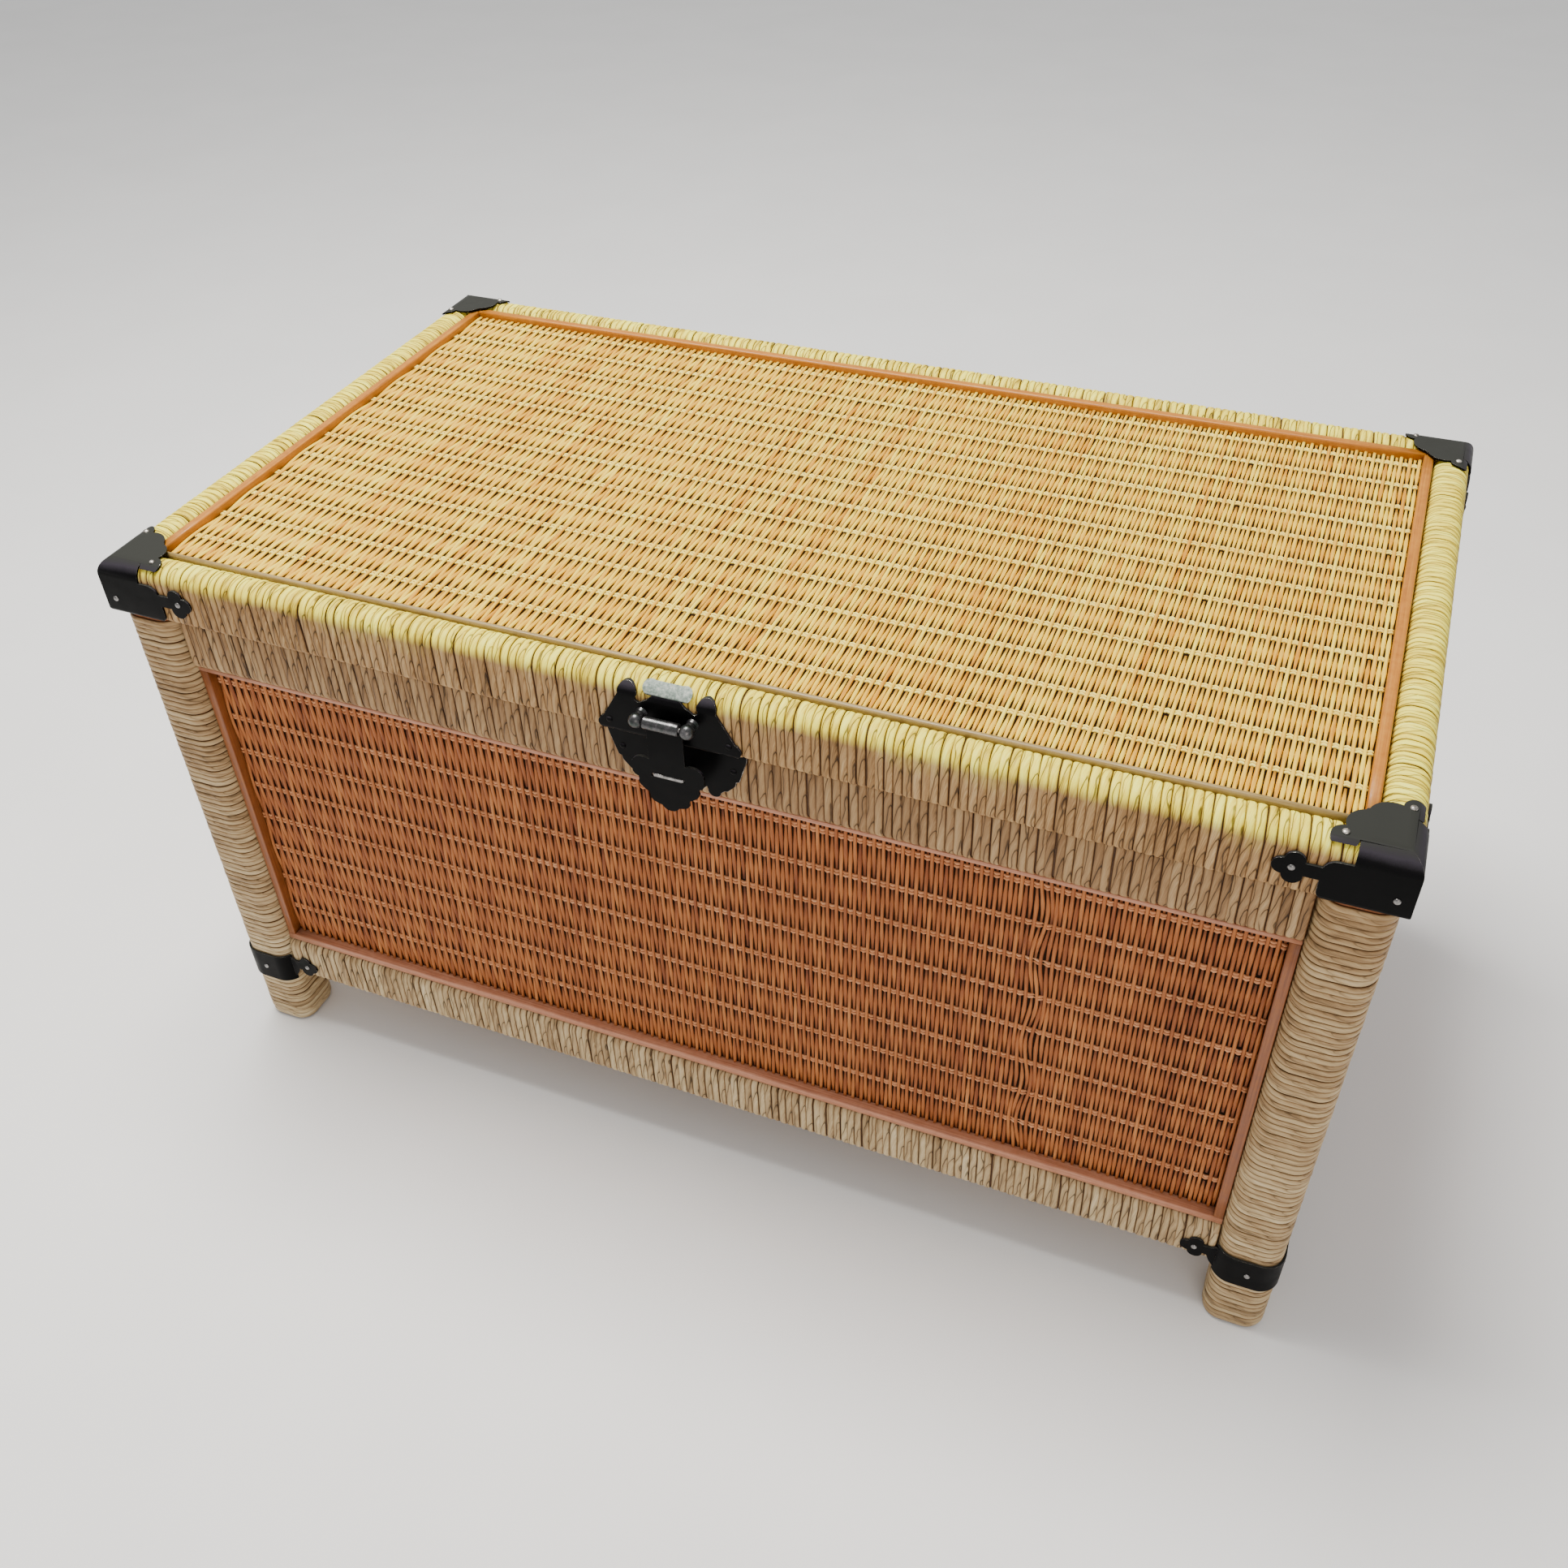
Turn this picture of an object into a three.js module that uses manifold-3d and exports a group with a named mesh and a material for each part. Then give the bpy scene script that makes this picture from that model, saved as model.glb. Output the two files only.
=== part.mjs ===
// A wicker storage trunk: cord-wrapped frame, woven panels, wrought-iron corners, hinges and lock.
// Millimetres, +Z up. The front faces -Y, the length runs along X, and the feet stand on Z = 0.

import * as THREE from 'three';
import { mergeVertices } from 'three/addons/utils/BufferGeometryUtils.js';
import Module from 'manifold-3d';

const wasm = await Module();
wasm.setup();

// ---------------------------------------------------------------- driving dimensions

const LENGTH = 860; // over the lid's corner brackets, along X
const DEPTH = 485; // over the lid's corner brackets, along Y
const HEIGHT = 464; // floor to the top of the brackets

const FIT = 0.3; // gap left between pieces that touch
const IRON = 1.4; // thickness of the sheet-iron fittings

const LID_BOTTOM = 422;
const LID_RAIL_WIDTH = 25;
const LID_ROUND = 11; // radius along the lid's upper edges
const LID_INNER_ROUND = 10; // radius along the rails' inner upper edges
const LID_EDGE = 3; // radius along the lid's lower edges
const LID_STRIP_WIDTH = 7;
const LID_STRIP_HEIGHT = 8;
const LID_STRIP_ROUND = 2;
const LID_STRIP_DROP = 0.8; // strips lie this far below the rails' tops
const LID_PANEL_THICK = 4;
const LID_BRACE = { width: 18, height: 4, x: 140 };

const POST_SIDE = 44;
const POST_RADIUS = 14;
const POST_TOP = 420;
const POST_INSET = { x: 1.3, y: 2.3 }; // behind the lid rails' outer faces
const FOOT_ROUND = 7; // rounding of a foot's lower edge

const RAIL_THICK = 25;
const RAIL_RADIUS = 6;
const RAIL_RECESS = 6.5; // behind the posts' outer faces
const UPPER_RAIL = { bottom: 376, top: 420 };
const LOWER_RAIL = { bottom: 58, top: 97 };

const TRIM_WIDTH = 6.5;
const TRIM_DEPTH = 10;
const TRIM_RECESS = 4; // behind the rails' outer faces
const PANEL_THICK = 4;

const FLOOR = { bottom: 66, thick: 6 };
const BATTEN = { width: 30, height: 6.5, x: 240 };

const NAIL = { radius: 2.3, topRadius: 1.2, rise: 1.3 };

const BRACKET = {
  neck: 34, // width of the bent part, from the corner
  tabHeight: 29,
  tabLength: 49,
  trefoil: 63, // corner to the trefoil's centre
  trefoilHeight: 18.5, // above the lid's bottom
  lobe: 5.6,
  waist: 9,
  cornerRadius: { low: 5, high: 8 },
  topLobe: { along: 42, across: 8.5, radius: 7.5 },
  topBulge: { near: 20, far: 30, radius: 13 },
  edgeNail: { inset: 9, rise: 12 },
  lift: 1, // lower edge above the lid's bottom
};
const TREFOIL = { spread: 0.95, reach: 1.05 }; // side and tip lobes' places, in lobe radii

const STRAP = {
  bottom: 52.5,
  top: 81,
  trefoilInset: 57, // from the post's outer face to the trefoil's centre
  trefoilZ: 71.5,
  lobe: 5.2,
  waist: 9,
  nail: { inset: 20, z: 66 },
  tuck: 5, // the tabs start this far inside the post's inner edge
};

const LOCK = {
  bottom: 423.5,
  half: 48,
  corner: 4.5, // cut off each lower corner
  ear: { x: 26, z: 454.5, radius: 5.5 },
  notch: { x: 20.5, z: 449 },
  shoulder: 16,
  tab: { half: 8, z: 458.5 },
  bar: { half: 15.5, near: 244, far: 233, bottom: 456.5, radius: 4.9 },
  nail: { x: 40, z: 431 },
  axisRise: 20, // hasp pin above the lid's bottom
  axisReach: 8, // hasp pin in front of the upper plate
  barrelRadius: 4,
  barrelHalf: 11.8,
  knuckleX: 17,
  ballRadius: 4.8,
  lugRadius: 3.4,
  pinRadius: 1.6,
  boreRadius: 1.95,
  pinHalf: 23,
  pinCap: { radius: 2.75, length: 1.2 },
};

const LOWER_PLATE = {
  half: 47.5,
  bottomHalf: 27,
  top: 413,
  side: 406,
  bottom: 380,
  notch: { x: 17, half: 4, z: 384 }, // between the middle lobe and the outer ones
  nail: { x: 37, z: 404 },
};

const HASP = {
  neckHalf: 11.8,
  wideHalf: 24.5,
  shoulderZ: 405,
  shoulderRadius: 6.5,
  lowerZ: 397,
  // right half of the stepped lower edge, down to the tip
  steps: [[24.5, 399], [20.5, 394], [19, 388.5], [13.5, 383], [12, 378], [5.5, 375.5], [2, 372.5]],
  thick: 1.6,
  slotHalf: 11.5,
  slotHeight: 3.4,
  slotZ: 399.5,
};

const STAPLE = { half: 9.5, bar: 3, z: 399.5 };

const HINGE = {
  x: 250,
  half: 26,
  barrelRadius: 4,
  pinRadius: 1.7,
  boreRadius: 2.05,
  axisReach: 6, // pin behind the lid rail's outer face
  axisZ: 421,
  knuckles: 5,
  knuckleGap: 0.5,
  lidLeafTop: 452,
  bodyLeafBottom: 386,
  crankTop: 415,
  crankOver: 1, // the crank's end and the lid leaf's tongues reach this far into a knuckle
  nailX: 18,
  nailStep: 6,
  nailRise: 11,
  pinOut: 1.5, // pin past the leaves at each end
};

// ---------------------------------------------------------------- derived planes

const LID_X = LENGTH / 2 - IRON - FIT; // lid rails' outer faces
const LID_Y = DEPTH / 2 - IRON - FIT;
const LID_TOP = HEIGHT - IRON - FIT;
const POST_X = LID_X - POST_INSET.x; // posts' outer faces
const POST_Y = LID_Y - POST_INSET.y;
const BAY_X = POST_X - POST_SIDE; // clear bay between posts
const BAY_Y = POST_Y - POST_SIDE;
const RAIL_X = POST_X - RAIL_RECESS; // body rails' outer faces
const RAIL_Y = POST_Y - RAIL_RECESS;
const HASP_AXIS_Y = -(LID_Y + FIT + IRON + LOCK.axisReach);
const HASP_AXIS_Z = LID_BOTTOM + LOCK.axisRise;
const HINGE_AXIS_Y = LID_Y + HINGE.axisReach;
const FRONT_REACH = LOCK.ballRadius - HASP_AXIS_Y;
const BACK_REACH = HINGE_AXIS_Y + HINGE.barrelRadius;
const CENTRE_Y = (FRONT_REACH - BACK_REACH) / 2; // puts the origin under the overall middle

const ARC_STEPS = 4; // half the straight steps in each arc of an outline
const ROUND_STEPS = 12; // straight steps in a full circle
const NAIL_STEPS = 8;
const FAR = 2000; // past every piece
const PAST = 1; // how far a cut runs past the face it opens

// ---------------------------------------------------------------- materials

const cord = new THREE.MeshStandardMaterial({ color: 0xb99c6f, roughness: 0.8 });
const lidCord = new THREE.MeshStandardMaterial({ color: 0xd8c880, roughness: 0.75 });
const wicker = new THREE.MeshStandardMaterial({ color: 0xb0703f, roughness: 0.6 });
const lidWicker = new THREE.MeshStandardMaterial({ color: 0xe2bb78, roughness: 0.6 });
const trimWood = new THREE.MeshStandardMaterial({ color: 0xb07a5a, roughness: 0.5 });
const boardWood = new THREE.MeshStandardMaterial({ color: 0xa9855a, roughness: 0.7 });
const iron = new THREE.MeshStandardMaterial({ color: 0x17181a, roughness: 0.45, metalness: 0.8 });
const steel = new THREE.MeshStandardMaterial({ color: 0x8e9294, roughness: 0.35, metalness: 0.9 });

// ---------------------------------------------------------------- solids

function solid(geometry) {
  const bare = geometry.index ? geometry.toNonIndexed() : geometry.clone();
  bare.deleteAttribute('normal');
  bare.deleteAttribute('uv');
  const merged = mergeVertices(bare, 1e-4);
  const mesh = new wasm.Mesh({
    numProp: 3,
    vertProperties: new Float32Array(merged.attributes.position.array),
    triVerts: new Uint32Array(merged.index.array),
  });
  return new wasm.Manifold(mesh);
}

function geometryOf(manifold) {
  const mesh = manifold.getMesh();
  const geometry = new THREE.BufferGeometry();
  geometry.setAttribute('position', new THREE.BufferAttribute(mesh.vertProperties, 3));
  geometry.setIndex(new THREE.BufferAttribute(mesh.triVerts, 1));
  geometry.computeVertexNormals();
  return geometry;
}

// A shape's own axes, and the direction it is extruded in, for each of the three axes.
const FRAMES = {
  x: [new THREE.Vector3(0, 1, 0), new THREE.Vector3(0, 0, 1), new THREE.Vector3(1, 0, 0)],
  y: [new THREE.Vector3(1, 0, 0), new THREE.Vector3(0, 0, 1), new THREE.Vector3(0, -1, 0)],
  z: [new THREE.Vector3(1, 0, 0), new THREE.Vector3(0, 1, 0), new THREE.Vector3(0, 0, 1)],
};

// Extrudes a shape along an axis, from one coordinate to a larger one.
function prism(shape, axis, from, to) {
  const geometry = new THREE.ExtrudeGeometry(shape, {
    depth: to - from,
    bevelEnabled: false,
    steps: 1,
    curveSegments: ARC_STEPS,
  });
  geometry.applyMatrix4(new THREE.Matrix4().makeBasis(...FRAMES[axis]));
  const start = axis === 'y' ? to : from;
  const move = { x: 0, y: 0, z: 0 };
  move[axis] = start;
  geometry.translate(move.x, move.y, move.z);
  return solid(geometry);
}

function box(x0, x1, y0, y1, z0, z1) {
  const geometry = new THREE.BoxGeometry(x1 - x0, y1 - y0, z1 - z0);
  geometry.translate((x0 + x1) / 2, (y0 + y1) / 2, (z0 + z1) / 2);
  return solid(geometry);
}

// A rectangle whose corners have the radii [low-left, low-right, high-right, high-left].
function roundedRect(u0, u1, v0, v1, radii) {
  const [a, b, c, d] = radii;
  const shape = new THREE.Shape();
  shape.moveTo(u0 + a, v0);
  shape.lineTo(u1 - b, v0);
  if (b > 0) shape.absarc(u1 - b, v0 + b, b, -Math.PI / 2, 0, false);
  shape.lineTo(u1, v1 - c);
  if (c > 0) shape.absarc(u1 - c, v1 - c, c, 0, Math.PI / 2, false);
  shape.lineTo(u0 + d, v1);
  if (d > 0) shape.absarc(u0 + d, v1 - d, d, Math.PI / 2, Math.PI, false);
  shape.lineTo(u0, v0 + a);
  if (a > 0) shape.absarc(u0 + a, v0 + a, a, Math.PI, Math.PI * 1.5, false);
  return shape;
}

function polygon(points) {
  return new THREE.Shape(points.map(([u, v]) => new THREE.Vector2(u, v)));
}

function disc(u, v, radius, steps = ROUND_STEPS) {
  const points = [];
  for (let i = 0; i < steps; i += 1) {
    const turn = (i / steps) * Math.PI * 2;
    points.push([u + radius * Math.cos(turn), v + radius * Math.sin(turn)]);
  }
  return polygon(points);
}

function rod(radius, x0, x1, y, z, steps = ROUND_STEPS) {
  return prism(disc(y, z, radius, steps), 'x', x0, x1);
}

function ball(radius, x, y, z) {
  const geometry = new THREE.SphereGeometry(radius, ROUND_STEPS, ROUND_STEPS / 2);
  geometry.translate(x, y, z);
  return solid(geometry);
}

const LEFT = new THREE.Vector3(-1, 0, 0);
const FRONT = new THREE.Vector3(0, -1, 0);
const BACK = new THREE.Vector3(0, 1, 0);
const UP = new THREE.Vector3(0, 0, 1);

// A nail head: a low frustum that starts inside a sheet and stands on its outer face.
function nail(x, y, z, direction) {
  const sunk = IRON / 2;
  const height = NAIL.rise + sunk;
  const geometry = new THREE.CylinderGeometry(NAIL.topRadius, NAIL.radius, height, NAIL_STEPS);
  geometry.translate(0, height / 2 - sunk, 0);
  geometry.applyQuaternion(new THREE.Quaternion().setFromUnitVectors(BACK, direction));
  geometry.translate(x, y, z);
  return solid(geometry);
}

function union(pieces) {
  return pieces.reduce((whole, piece) => whole.add(piece));
}

const MIRROR_X = new THREE.Matrix4().makeScale(-1, 1, 1);
const MIRROR_Y = new THREE.Matrix4().makeScale(1, -1, 1);

// Mirrors a solid and turns its triangles round, so that its faces still point out.
function mirrored(manifold, matrix) {
  const geometry = geometryOf(manifold);
  geometry.applyMatrix4(matrix);
  const index = geometry.index.array;
  for (let i = 0; i < index.length; i += 3) {
    [index[i + 1], index[i + 2]] = [index[i + 2], index[i + 1]];
  }
  return solid(geometry);
}

// ---------------------------------------------------------------- the assembly

const trunk = new THREE.Group();
trunk.position.y = CENTRE_Y;

function add(name, manifold, material) {
  const mesh = new THREE.Mesh(geometryOf(manifold), material);
  mesh.name = name;
  trunk.add(mesh);
}

// Adds a front-left piece and its three mirror images.
function addAtCorners(name, frontLeft, material) {
  const frontRight = mirrored(frontLeft, MIRROR_X);
  add(`${name}_front_left`, frontLeft, material);
  add(`${name}_front_right`, frontRight, material);
  add(`${name}_back_left`, mirrored(frontLeft, MIRROR_Y), material);
  add(`${name}_back_right`, mirrored(frontRight, MIRROR_Y), material);
}

// ---------------------------------------------------------------- posts and body rails

// A rounded square column at the front-left corner, grown by an offset on every side.
function postColumn(grow, z0, z1) {
  const shape = roundedRect(
    -POST_X - grow,
    -BAY_X + grow,
    -POST_Y - grow,
    -BAY_Y + grow,
    Array(4).fill(POST_RADIUS + grow),
  );
  return prism(shape, 'z', z0, z1);
}

// The foot's lower edge is rounded by cutting the column with two bullnosed sections.
function post() {
  const foot = [FOOT_ROUND, FOOT_ROUND, 0, 0];
  const alongX = roundedRect(-POST_X, -BAY_X, 0, POST_TOP, foot);
  const alongY = roundedRect(-POST_Y, -BAY_Y, 0, POST_TOP, foot);
  return postColumn(0, 0, POST_TOP)
    .intersect(prism(alongX, 'y', -FAR, FAR))
    .intersect(prism(alongY, 'x', -FAR, FAR));
}

function addBodyRails(level, { bottom, top }) {
  const radii = Array(4).fill(RAIL_RADIUS);
  const long = roundedRect(-RAIL_Y, -RAIL_Y + RAIL_THICK, bottom, top, radii);
  const short = roundedRect(-RAIL_X, -RAIL_X + RAIL_THICK, bottom, top, radii);
  const front = prism(long, 'x', -BAY_X + FIT, BAY_X - FIT);
  const left = prism(short, 'y', -BAY_Y + FIT, BAY_Y - FIT);
  add(`${level}_rail_front`, front, cord);
  add(`${level}_rail_back`, mirrored(front, MIRROR_Y), cord);
  add(`${level}_rail_left`, left, cord);
  add(`${level}_rail_right`, mirrored(left, MIRROR_X), cord);
}

// ---------------------------------------------------------------- woven bays

// One bay of the body: a wooden trim frame with the woven panel let into its back half.
// half is the bay's half width and face the trim's front plane, seen from outside.
function bay(half, face, axis) {
  const outer = { u: half - FIT, v0: LOWER_RAIL.top + FIT, v1: UPPER_RAIL.bottom - FIT };
  const inner = {
    u: outer.u - TRIM_WIDTH,
    v0: outer.v0 + TRIM_WIDTH,
    v1: outer.v1 - TRIM_WIDTH,
  };
  const square = [0, 0, 0, 0];
  const back = face + TRIM_DEPTH;
  const frame = prism(roundedRect(-outer.u, outer.u, outer.v0, outer.v1, square), axis, face, back);
  const hole = prism(roundedRect(-inner.u, inner.u, inner.v0, inner.v1, square), axis, -FAR, FAR);
  const panelShape = roundedRect(
    -inner.u + FIT,
    inner.u - FIT,
    inner.v0 + FIT,
    inner.v1 - FIT,
    square,
  );
  const panel = prism(panelShape, axis, back - PANEL_THICK, back);
  return { frame: frame.subtract(hole), panel };
}

function addBays() {
  const front = bay(BAY_X, -RAIL_Y + TRIM_RECESS, 'y');
  const left = bay(BAY_Y, -RAIL_X + TRIM_RECESS, 'x');
  add('front_trim', front.frame, trimWood);
  add('front_panel', front.panel, wicker);
  add('back_trim', mirrored(front.frame, MIRROR_Y), trimWood);
  add('back_panel', mirrored(front.panel, MIRROR_Y), wicker);
  add('left_trim', left.frame, trimWood);
  add('left_panel', left.panel, wicker);
  add('right_trim', mirrored(left.frame, MIRROR_X), trimWood);
  add('right_panel', mirrored(left.panel, MIRROR_X), wicker);
}

// ---------------------------------------------------------------- floor

function addFloor() {
  const insideX = RAIL_X - RAIL_THICK - FIT;
  const insideY = RAIL_Y - RAIL_THICK - FIT;
  const bayX = BAY_X - FIT;
  const bayY = BAY_Y - FIT;
  const top = FLOOR.bottom + FLOOR.thick;
  const board = box(-insideX, insideX, -bayY, bayY, FLOOR.bottom, top)
    .add(box(-bayX, bayX, -insideY, insideY, FLOOR.bottom, top));
  add('floor_board', board, boardWood);
  const battenTop = FLOOR.bottom - FIT;
  const half = BATTEN.width / 2;
  const places = { left: -BATTEN.x, middle: 0, right: BATTEN.x };
  for (const [side, x] of Object.entries(places)) {
    const low = battenTop - BATTEN.height;
    const batten = box(x - half, x + half, -insideY, insideY, low, battenTop);
    add(`floor_batten_${side}`, batten, boardWood);
  }
}

// ---------------------------------------------------------------- lid

// The lid's outer block with bullnosed upper edges, grown by an offset on the outside and the top.
function lidBlock(grow) {
  const radii = [LID_EDGE, LID_EDGE, LID_ROUND + grow, LID_ROUND + grow];
  const acrossX = roundedRect(-LID_X - grow, LID_X + grow, LID_BOTTOM, LID_TOP + grow, radii);
  const acrossY = roundedRect(-LID_Y - grow, LID_Y + grow, LID_BOTTOM, LID_TOP + grow, radii);
  return prism(acrossX, 'y', -FAR, FAR).intersect(prism(acrossY, 'x', -FAR, FAR));
}

// The four rails meet on mitres, each one a wedge of the lid's block.
function addLidRails() {
  const block = lidBlock(0);
  const openX = LID_X - LID_RAIL_WIDTH;
  const openY = LID_Y - LID_RAIL_WIDTH;
  const gap = FIT * Math.SQRT1_2;
  const radii = [LID_EDGE, LID_EDGE, LID_INNER_ROUND, LID_INNER_ROUND];
  const front = roundedRect(-LID_Y, -openY, LID_BOTTOM, LID_TOP, radii);
  const left = roundedRect(-LID_X, -openX, LID_BOTTOM, LID_TOP, radii);
  const mitreFront = polygon([
    [-LID_X - LID_RAIL_WIDTH + gap, -LID_Y - LID_RAIL_WIDTH],
    [LID_X + LID_RAIL_WIDTH - gap, -LID_Y - LID_RAIL_WIDTH],
    [openX - gap, -openY],
    [-openX + gap, -openY],
  ]);
  const mitreLeft = polygon([
    [-LID_X - LID_RAIL_WIDTH, -LID_Y - LID_RAIL_WIDTH + gap],
    [-openX, -openY + gap],
    [-openX, openY - gap],
    [-LID_X - LID_RAIL_WIDTH, LID_Y + LID_RAIL_WIDTH - gap],
  ]);
  const frontRail = block
    .intersect(prism(front, 'x', -FAR, FAR))
    .intersect(prism(mitreFront, 'z', -FAR, FAR));
  const leftRail = block
    .intersect(prism(left, 'y', -FAR, FAR))
    .intersect(prism(mitreLeft, 'z', -FAR, FAR));
  add('lid_rail_front', frontRail, lidCord);
  add('lid_rail_back', mirrored(frontRail, MIRROR_Y), lidCord);
  add('lid_rail_left', leftRail, lidCord);
  add('lid_rail_right', mirrored(leftRail, MIRROR_X), lidCord);
}

// Slats stand round the opening, and the woven panel fills them from below their tops.
function addLidField() {
  const openX = LID_X - LID_RAIL_WIDTH - FIT;
  const openY = LID_Y - LID_RAIL_WIDTH - FIT;
  const top = LID_TOP - LID_STRIP_DROP;
  const bottom = top - LID_STRIP_HEIGHT;
  const radii = [0, 0, LID_STRIP_ROUND, LID_STRIP_ROUND];
  const frontSlat = roundedRect(-openY, -openY + LID_STRIP_WIDTH, bottom, top, radii);
  const leftSlat = roundedRect(-openX, -openX + LID_STRIP_WIDTH, bottom, top, radii);
  const front = prism(frontSlat, 'x', -openX, openX);
  const leftHalf = openY - LID_STRIP_WIDTH - FIT;
  const left = prism(leftSlat, 'y', -leftHalf, leftHalf);
  add('lid_strip_front', front, trimWood);
  add('lid_strip_back', mirrored(front, MIRROR_Y), trimWood);
  add('lid_strip_left', left, trimWood);
  add('lid_strip_right', mirrored(left, MIRROR_X), trimWood);

  const panelX = openX - LID_STRIP_WIDTH - FIT;
  const panelY = openY - LID_STRIP_WIDTH - FIT;
  const panel = box(-panelX, panelX, -panelY, panelY, bottom, bottom + LID_PANEL_THICK);
  add('lid_panel', panel, lidWicker);

  const braceTop = bottom - FIT;
  const half = LID_BRACE.width / 2;
  const braceBottom = braceTop - LID_BRACE.height;
  for (const [side, x] of [['left', -LID_BRACE.x], ['right', LID_BRACE.x]]) {
    add(`lid_brace_${side}`, box(x - half, x + half, -openY, openY, braceBottom, braceTop), trimWood);
  }
}

// ---------------------------------------------------------------- iron fittings

// Adds a three-lobed leaf to an outline, from the neck's lower edge round to its upper edge.
// The leaf's middle is (u, v), and its tip points to +u.
function addTrefoil(shape, u, v, lobe, waist) {
  const spread = lobe * TREFOIL.spread;
  const reach = lobe * TREFOIL.reach;
  const apart = Math.hypot(reach, spread);
  const rise = Math.sqrt(lobe * lobe - (apart / 2) ** 2);
  const cusp = {
    u: reach / 2 + (rise * spread) / apart,
    v: -spread / 2 - (rise * reach) / apart,
  };
  const fromNeck = Math.PI - Math.asin((spread - waist / 2) / lobe);
  const toCusp = Math.atan2(cusp.v + spread, cusp.u) + Math.PI * 2;
  const round = Math.atan2(cusp.v, cusp.u - reach);
  shape.absarc(u, v - spread, lobe, fromNeck, toCusp, false);
  shape.absarc(u + reach, v, lobe, round, -round, false);
  shape.absarc(u, v + spread, lobe, -toCusp, -fromNeck, false);
}

// One face of the corner bracket: a plate that starts at the corner and ends in a trefoil.
function bracketTab(corner, axis, from, to) {
  const { tabLength, tabHeight, cornerRadius, waist, lobe } = BRACKET;
  const start = corner - IRON;
  const end = corner + tabLength;
  const leafZ = LID_BOTTOM + BRACKET.trefoilHeight;
  const bottom = LID_BOTTOM + BRACKET.lift;
  const top = LID_BOTTOM + tabHeight;
  const { low, high } = cornerRadius;
  const shape = new THREE.Shape();
  shape.moveTo(start, bottom);
  shape.lineTo(end - low, bottom);
  shape.absarc(end - low, bottom + low, low, -Math.PI / 2, 0, false);
  shape.lineTo(end, leafZ - waist / 2);
  addTrefoil(shape, corner + BRACKET.trefoil, leafZ, lobe, waist);
  shape.lineTo(end, leafZ + waist / 2);
  shape.absarc(end - high, top - high, high, 0, Math.PI / 2, false);
  shape.lineTo(start, top);
  return prism(shape, axis, from, to);
}

// The lid's corner bracket: a scalloped top plate bent down over two faces of the corner.
function lidBracket() {
  const sheet = lidBlock(FIT + IRON).subtract(lidBlock(FIT));
  const x = -LENGTH / 2;
  const y = -DEPTH / 2;
  const { topLobe, topBulge, neck, edgeNail } = BRACKET;
  const reach = LID_ROUND - IRON;
  const low = LID_BOTTOM + BRACKET.tabHeight - PAST;
  const flat = LID_TOP - IRON;
  const high = HEIGHT + IRON;
  const across = topLobe.across;
  const along = topLobe.along;
  const plate = roundedRect(x - IRON, x + neck, y - IRON, y + neck, [0, 0, IRON, 0]);
  const outline = union([
    bracketTab(x, 'y', y - IRON, y + reach),
    bracketTab(y, 'x', x - IRON, x + reach),
    prism(plate, 'z', low, high),
    prism(disc(x + topBulge.far, y + topBulge.near, topBulge.radius), 'z', flat, high),
    prism(disc(x + topBulge.near, y + topBulge.far, topBulge.radius), 'z', flat, high),
    prism(disc(x + along, y + across, topLobe.radius), 'z', flat, high),
    prism(disc(x + across, y + along, topLobe.radius), 'z', flat, high),
  ]);
  const leafZ = LID_BOTTOM + BRACKET.trefoilHeight;
  const edgeZ = LID_BOTTOM + edgeNail.rise;
  return union([
    sheet.intersect(outline),
    nail(x + BRACKET.trefoil, y, leafZ, FRONT),
    nail(x + edgeNail.inset, y, edgeZ, FRONT),
    nail(x, y + BRACKET.trefoil, leafZ, LEFT),
    nail(x, y + edgeNail.inset, edgeZ, LEFT),
    nail(x + along, y + across + NAIL.radius, HEIGHT, UP),
    nail(x + across + NAIL.radius, y + along, HEIGHT, UP),
  ]);
}

// The band round a post at the lower rails, with a trefoil tab nailed to each rail.
function footStrap() {
  const faceX = -RAIL_X - FIT;
  const faceY = -RAIL_Y - FIT;
  const { bottom, top, lobe, waist, trefoilZ, trefoilInset } = STRAP;
  const band = postColumn(FIT + IRON, bottom, top).subtract(postColumn(FIT, 0, POST_TOP));
  const outside = union([
    box(-FAR, FAR, -FAR, faceY, 0, POST_TOP),
    box(-FAR, faceX, -FAR, FAR, 0, POST_TOP),
  ]);
  const tab = (post, bayEdge, axis, face) => {
    const shape = new THREE.Shape();
    shape.moveTo(bayEdge, trefoilZ - waist / 2);
    addTrefoil(shape, post + trefoilInset, trefoilZ, lobe, waist);
    shape.lineTo(bayEdge, trefoilZ + waist / 2);
    return prism(shape, axis, face - IRON, face).subtract(postColumn(FIT, 0, POST_TOP));
  };
  const leafX = -POST_X + trefoilInset;
  const leafY = -POST_Y + trefoilInset;
  const outerX = -POST_X - FIT - IRON;
  const outerY = -POST_Y - FIT - IRON;
  return union([
    band.intersect(outside),
    tab(-POST_X, -BAY_X - STRAP.tuck, 'y', faceY),
    tab(-POST_Y, -BAY_Y - STRAP.tuck, 'x', faceX),
    nail(leafX, faceY - IRON, trefoilZ, FRONT),
    nail(faceX - IRON, leafY, trefoilZ, LEFT),
    nail(-POST_X + STRAP.nail.inset, outerY, STRAP.nail.z, FRONT),
    nail(outerX, -POST_Y + STRAP.nail.inset, STRAP.nail.z, LEFT),
  ]);
}

// ---------------------------------------------------------------- lock

function bothSides(points) {
  const left = points.map(([u, v]) => [-u, v]).reverse();
  return polygon([...points, ...left]);
}

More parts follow.
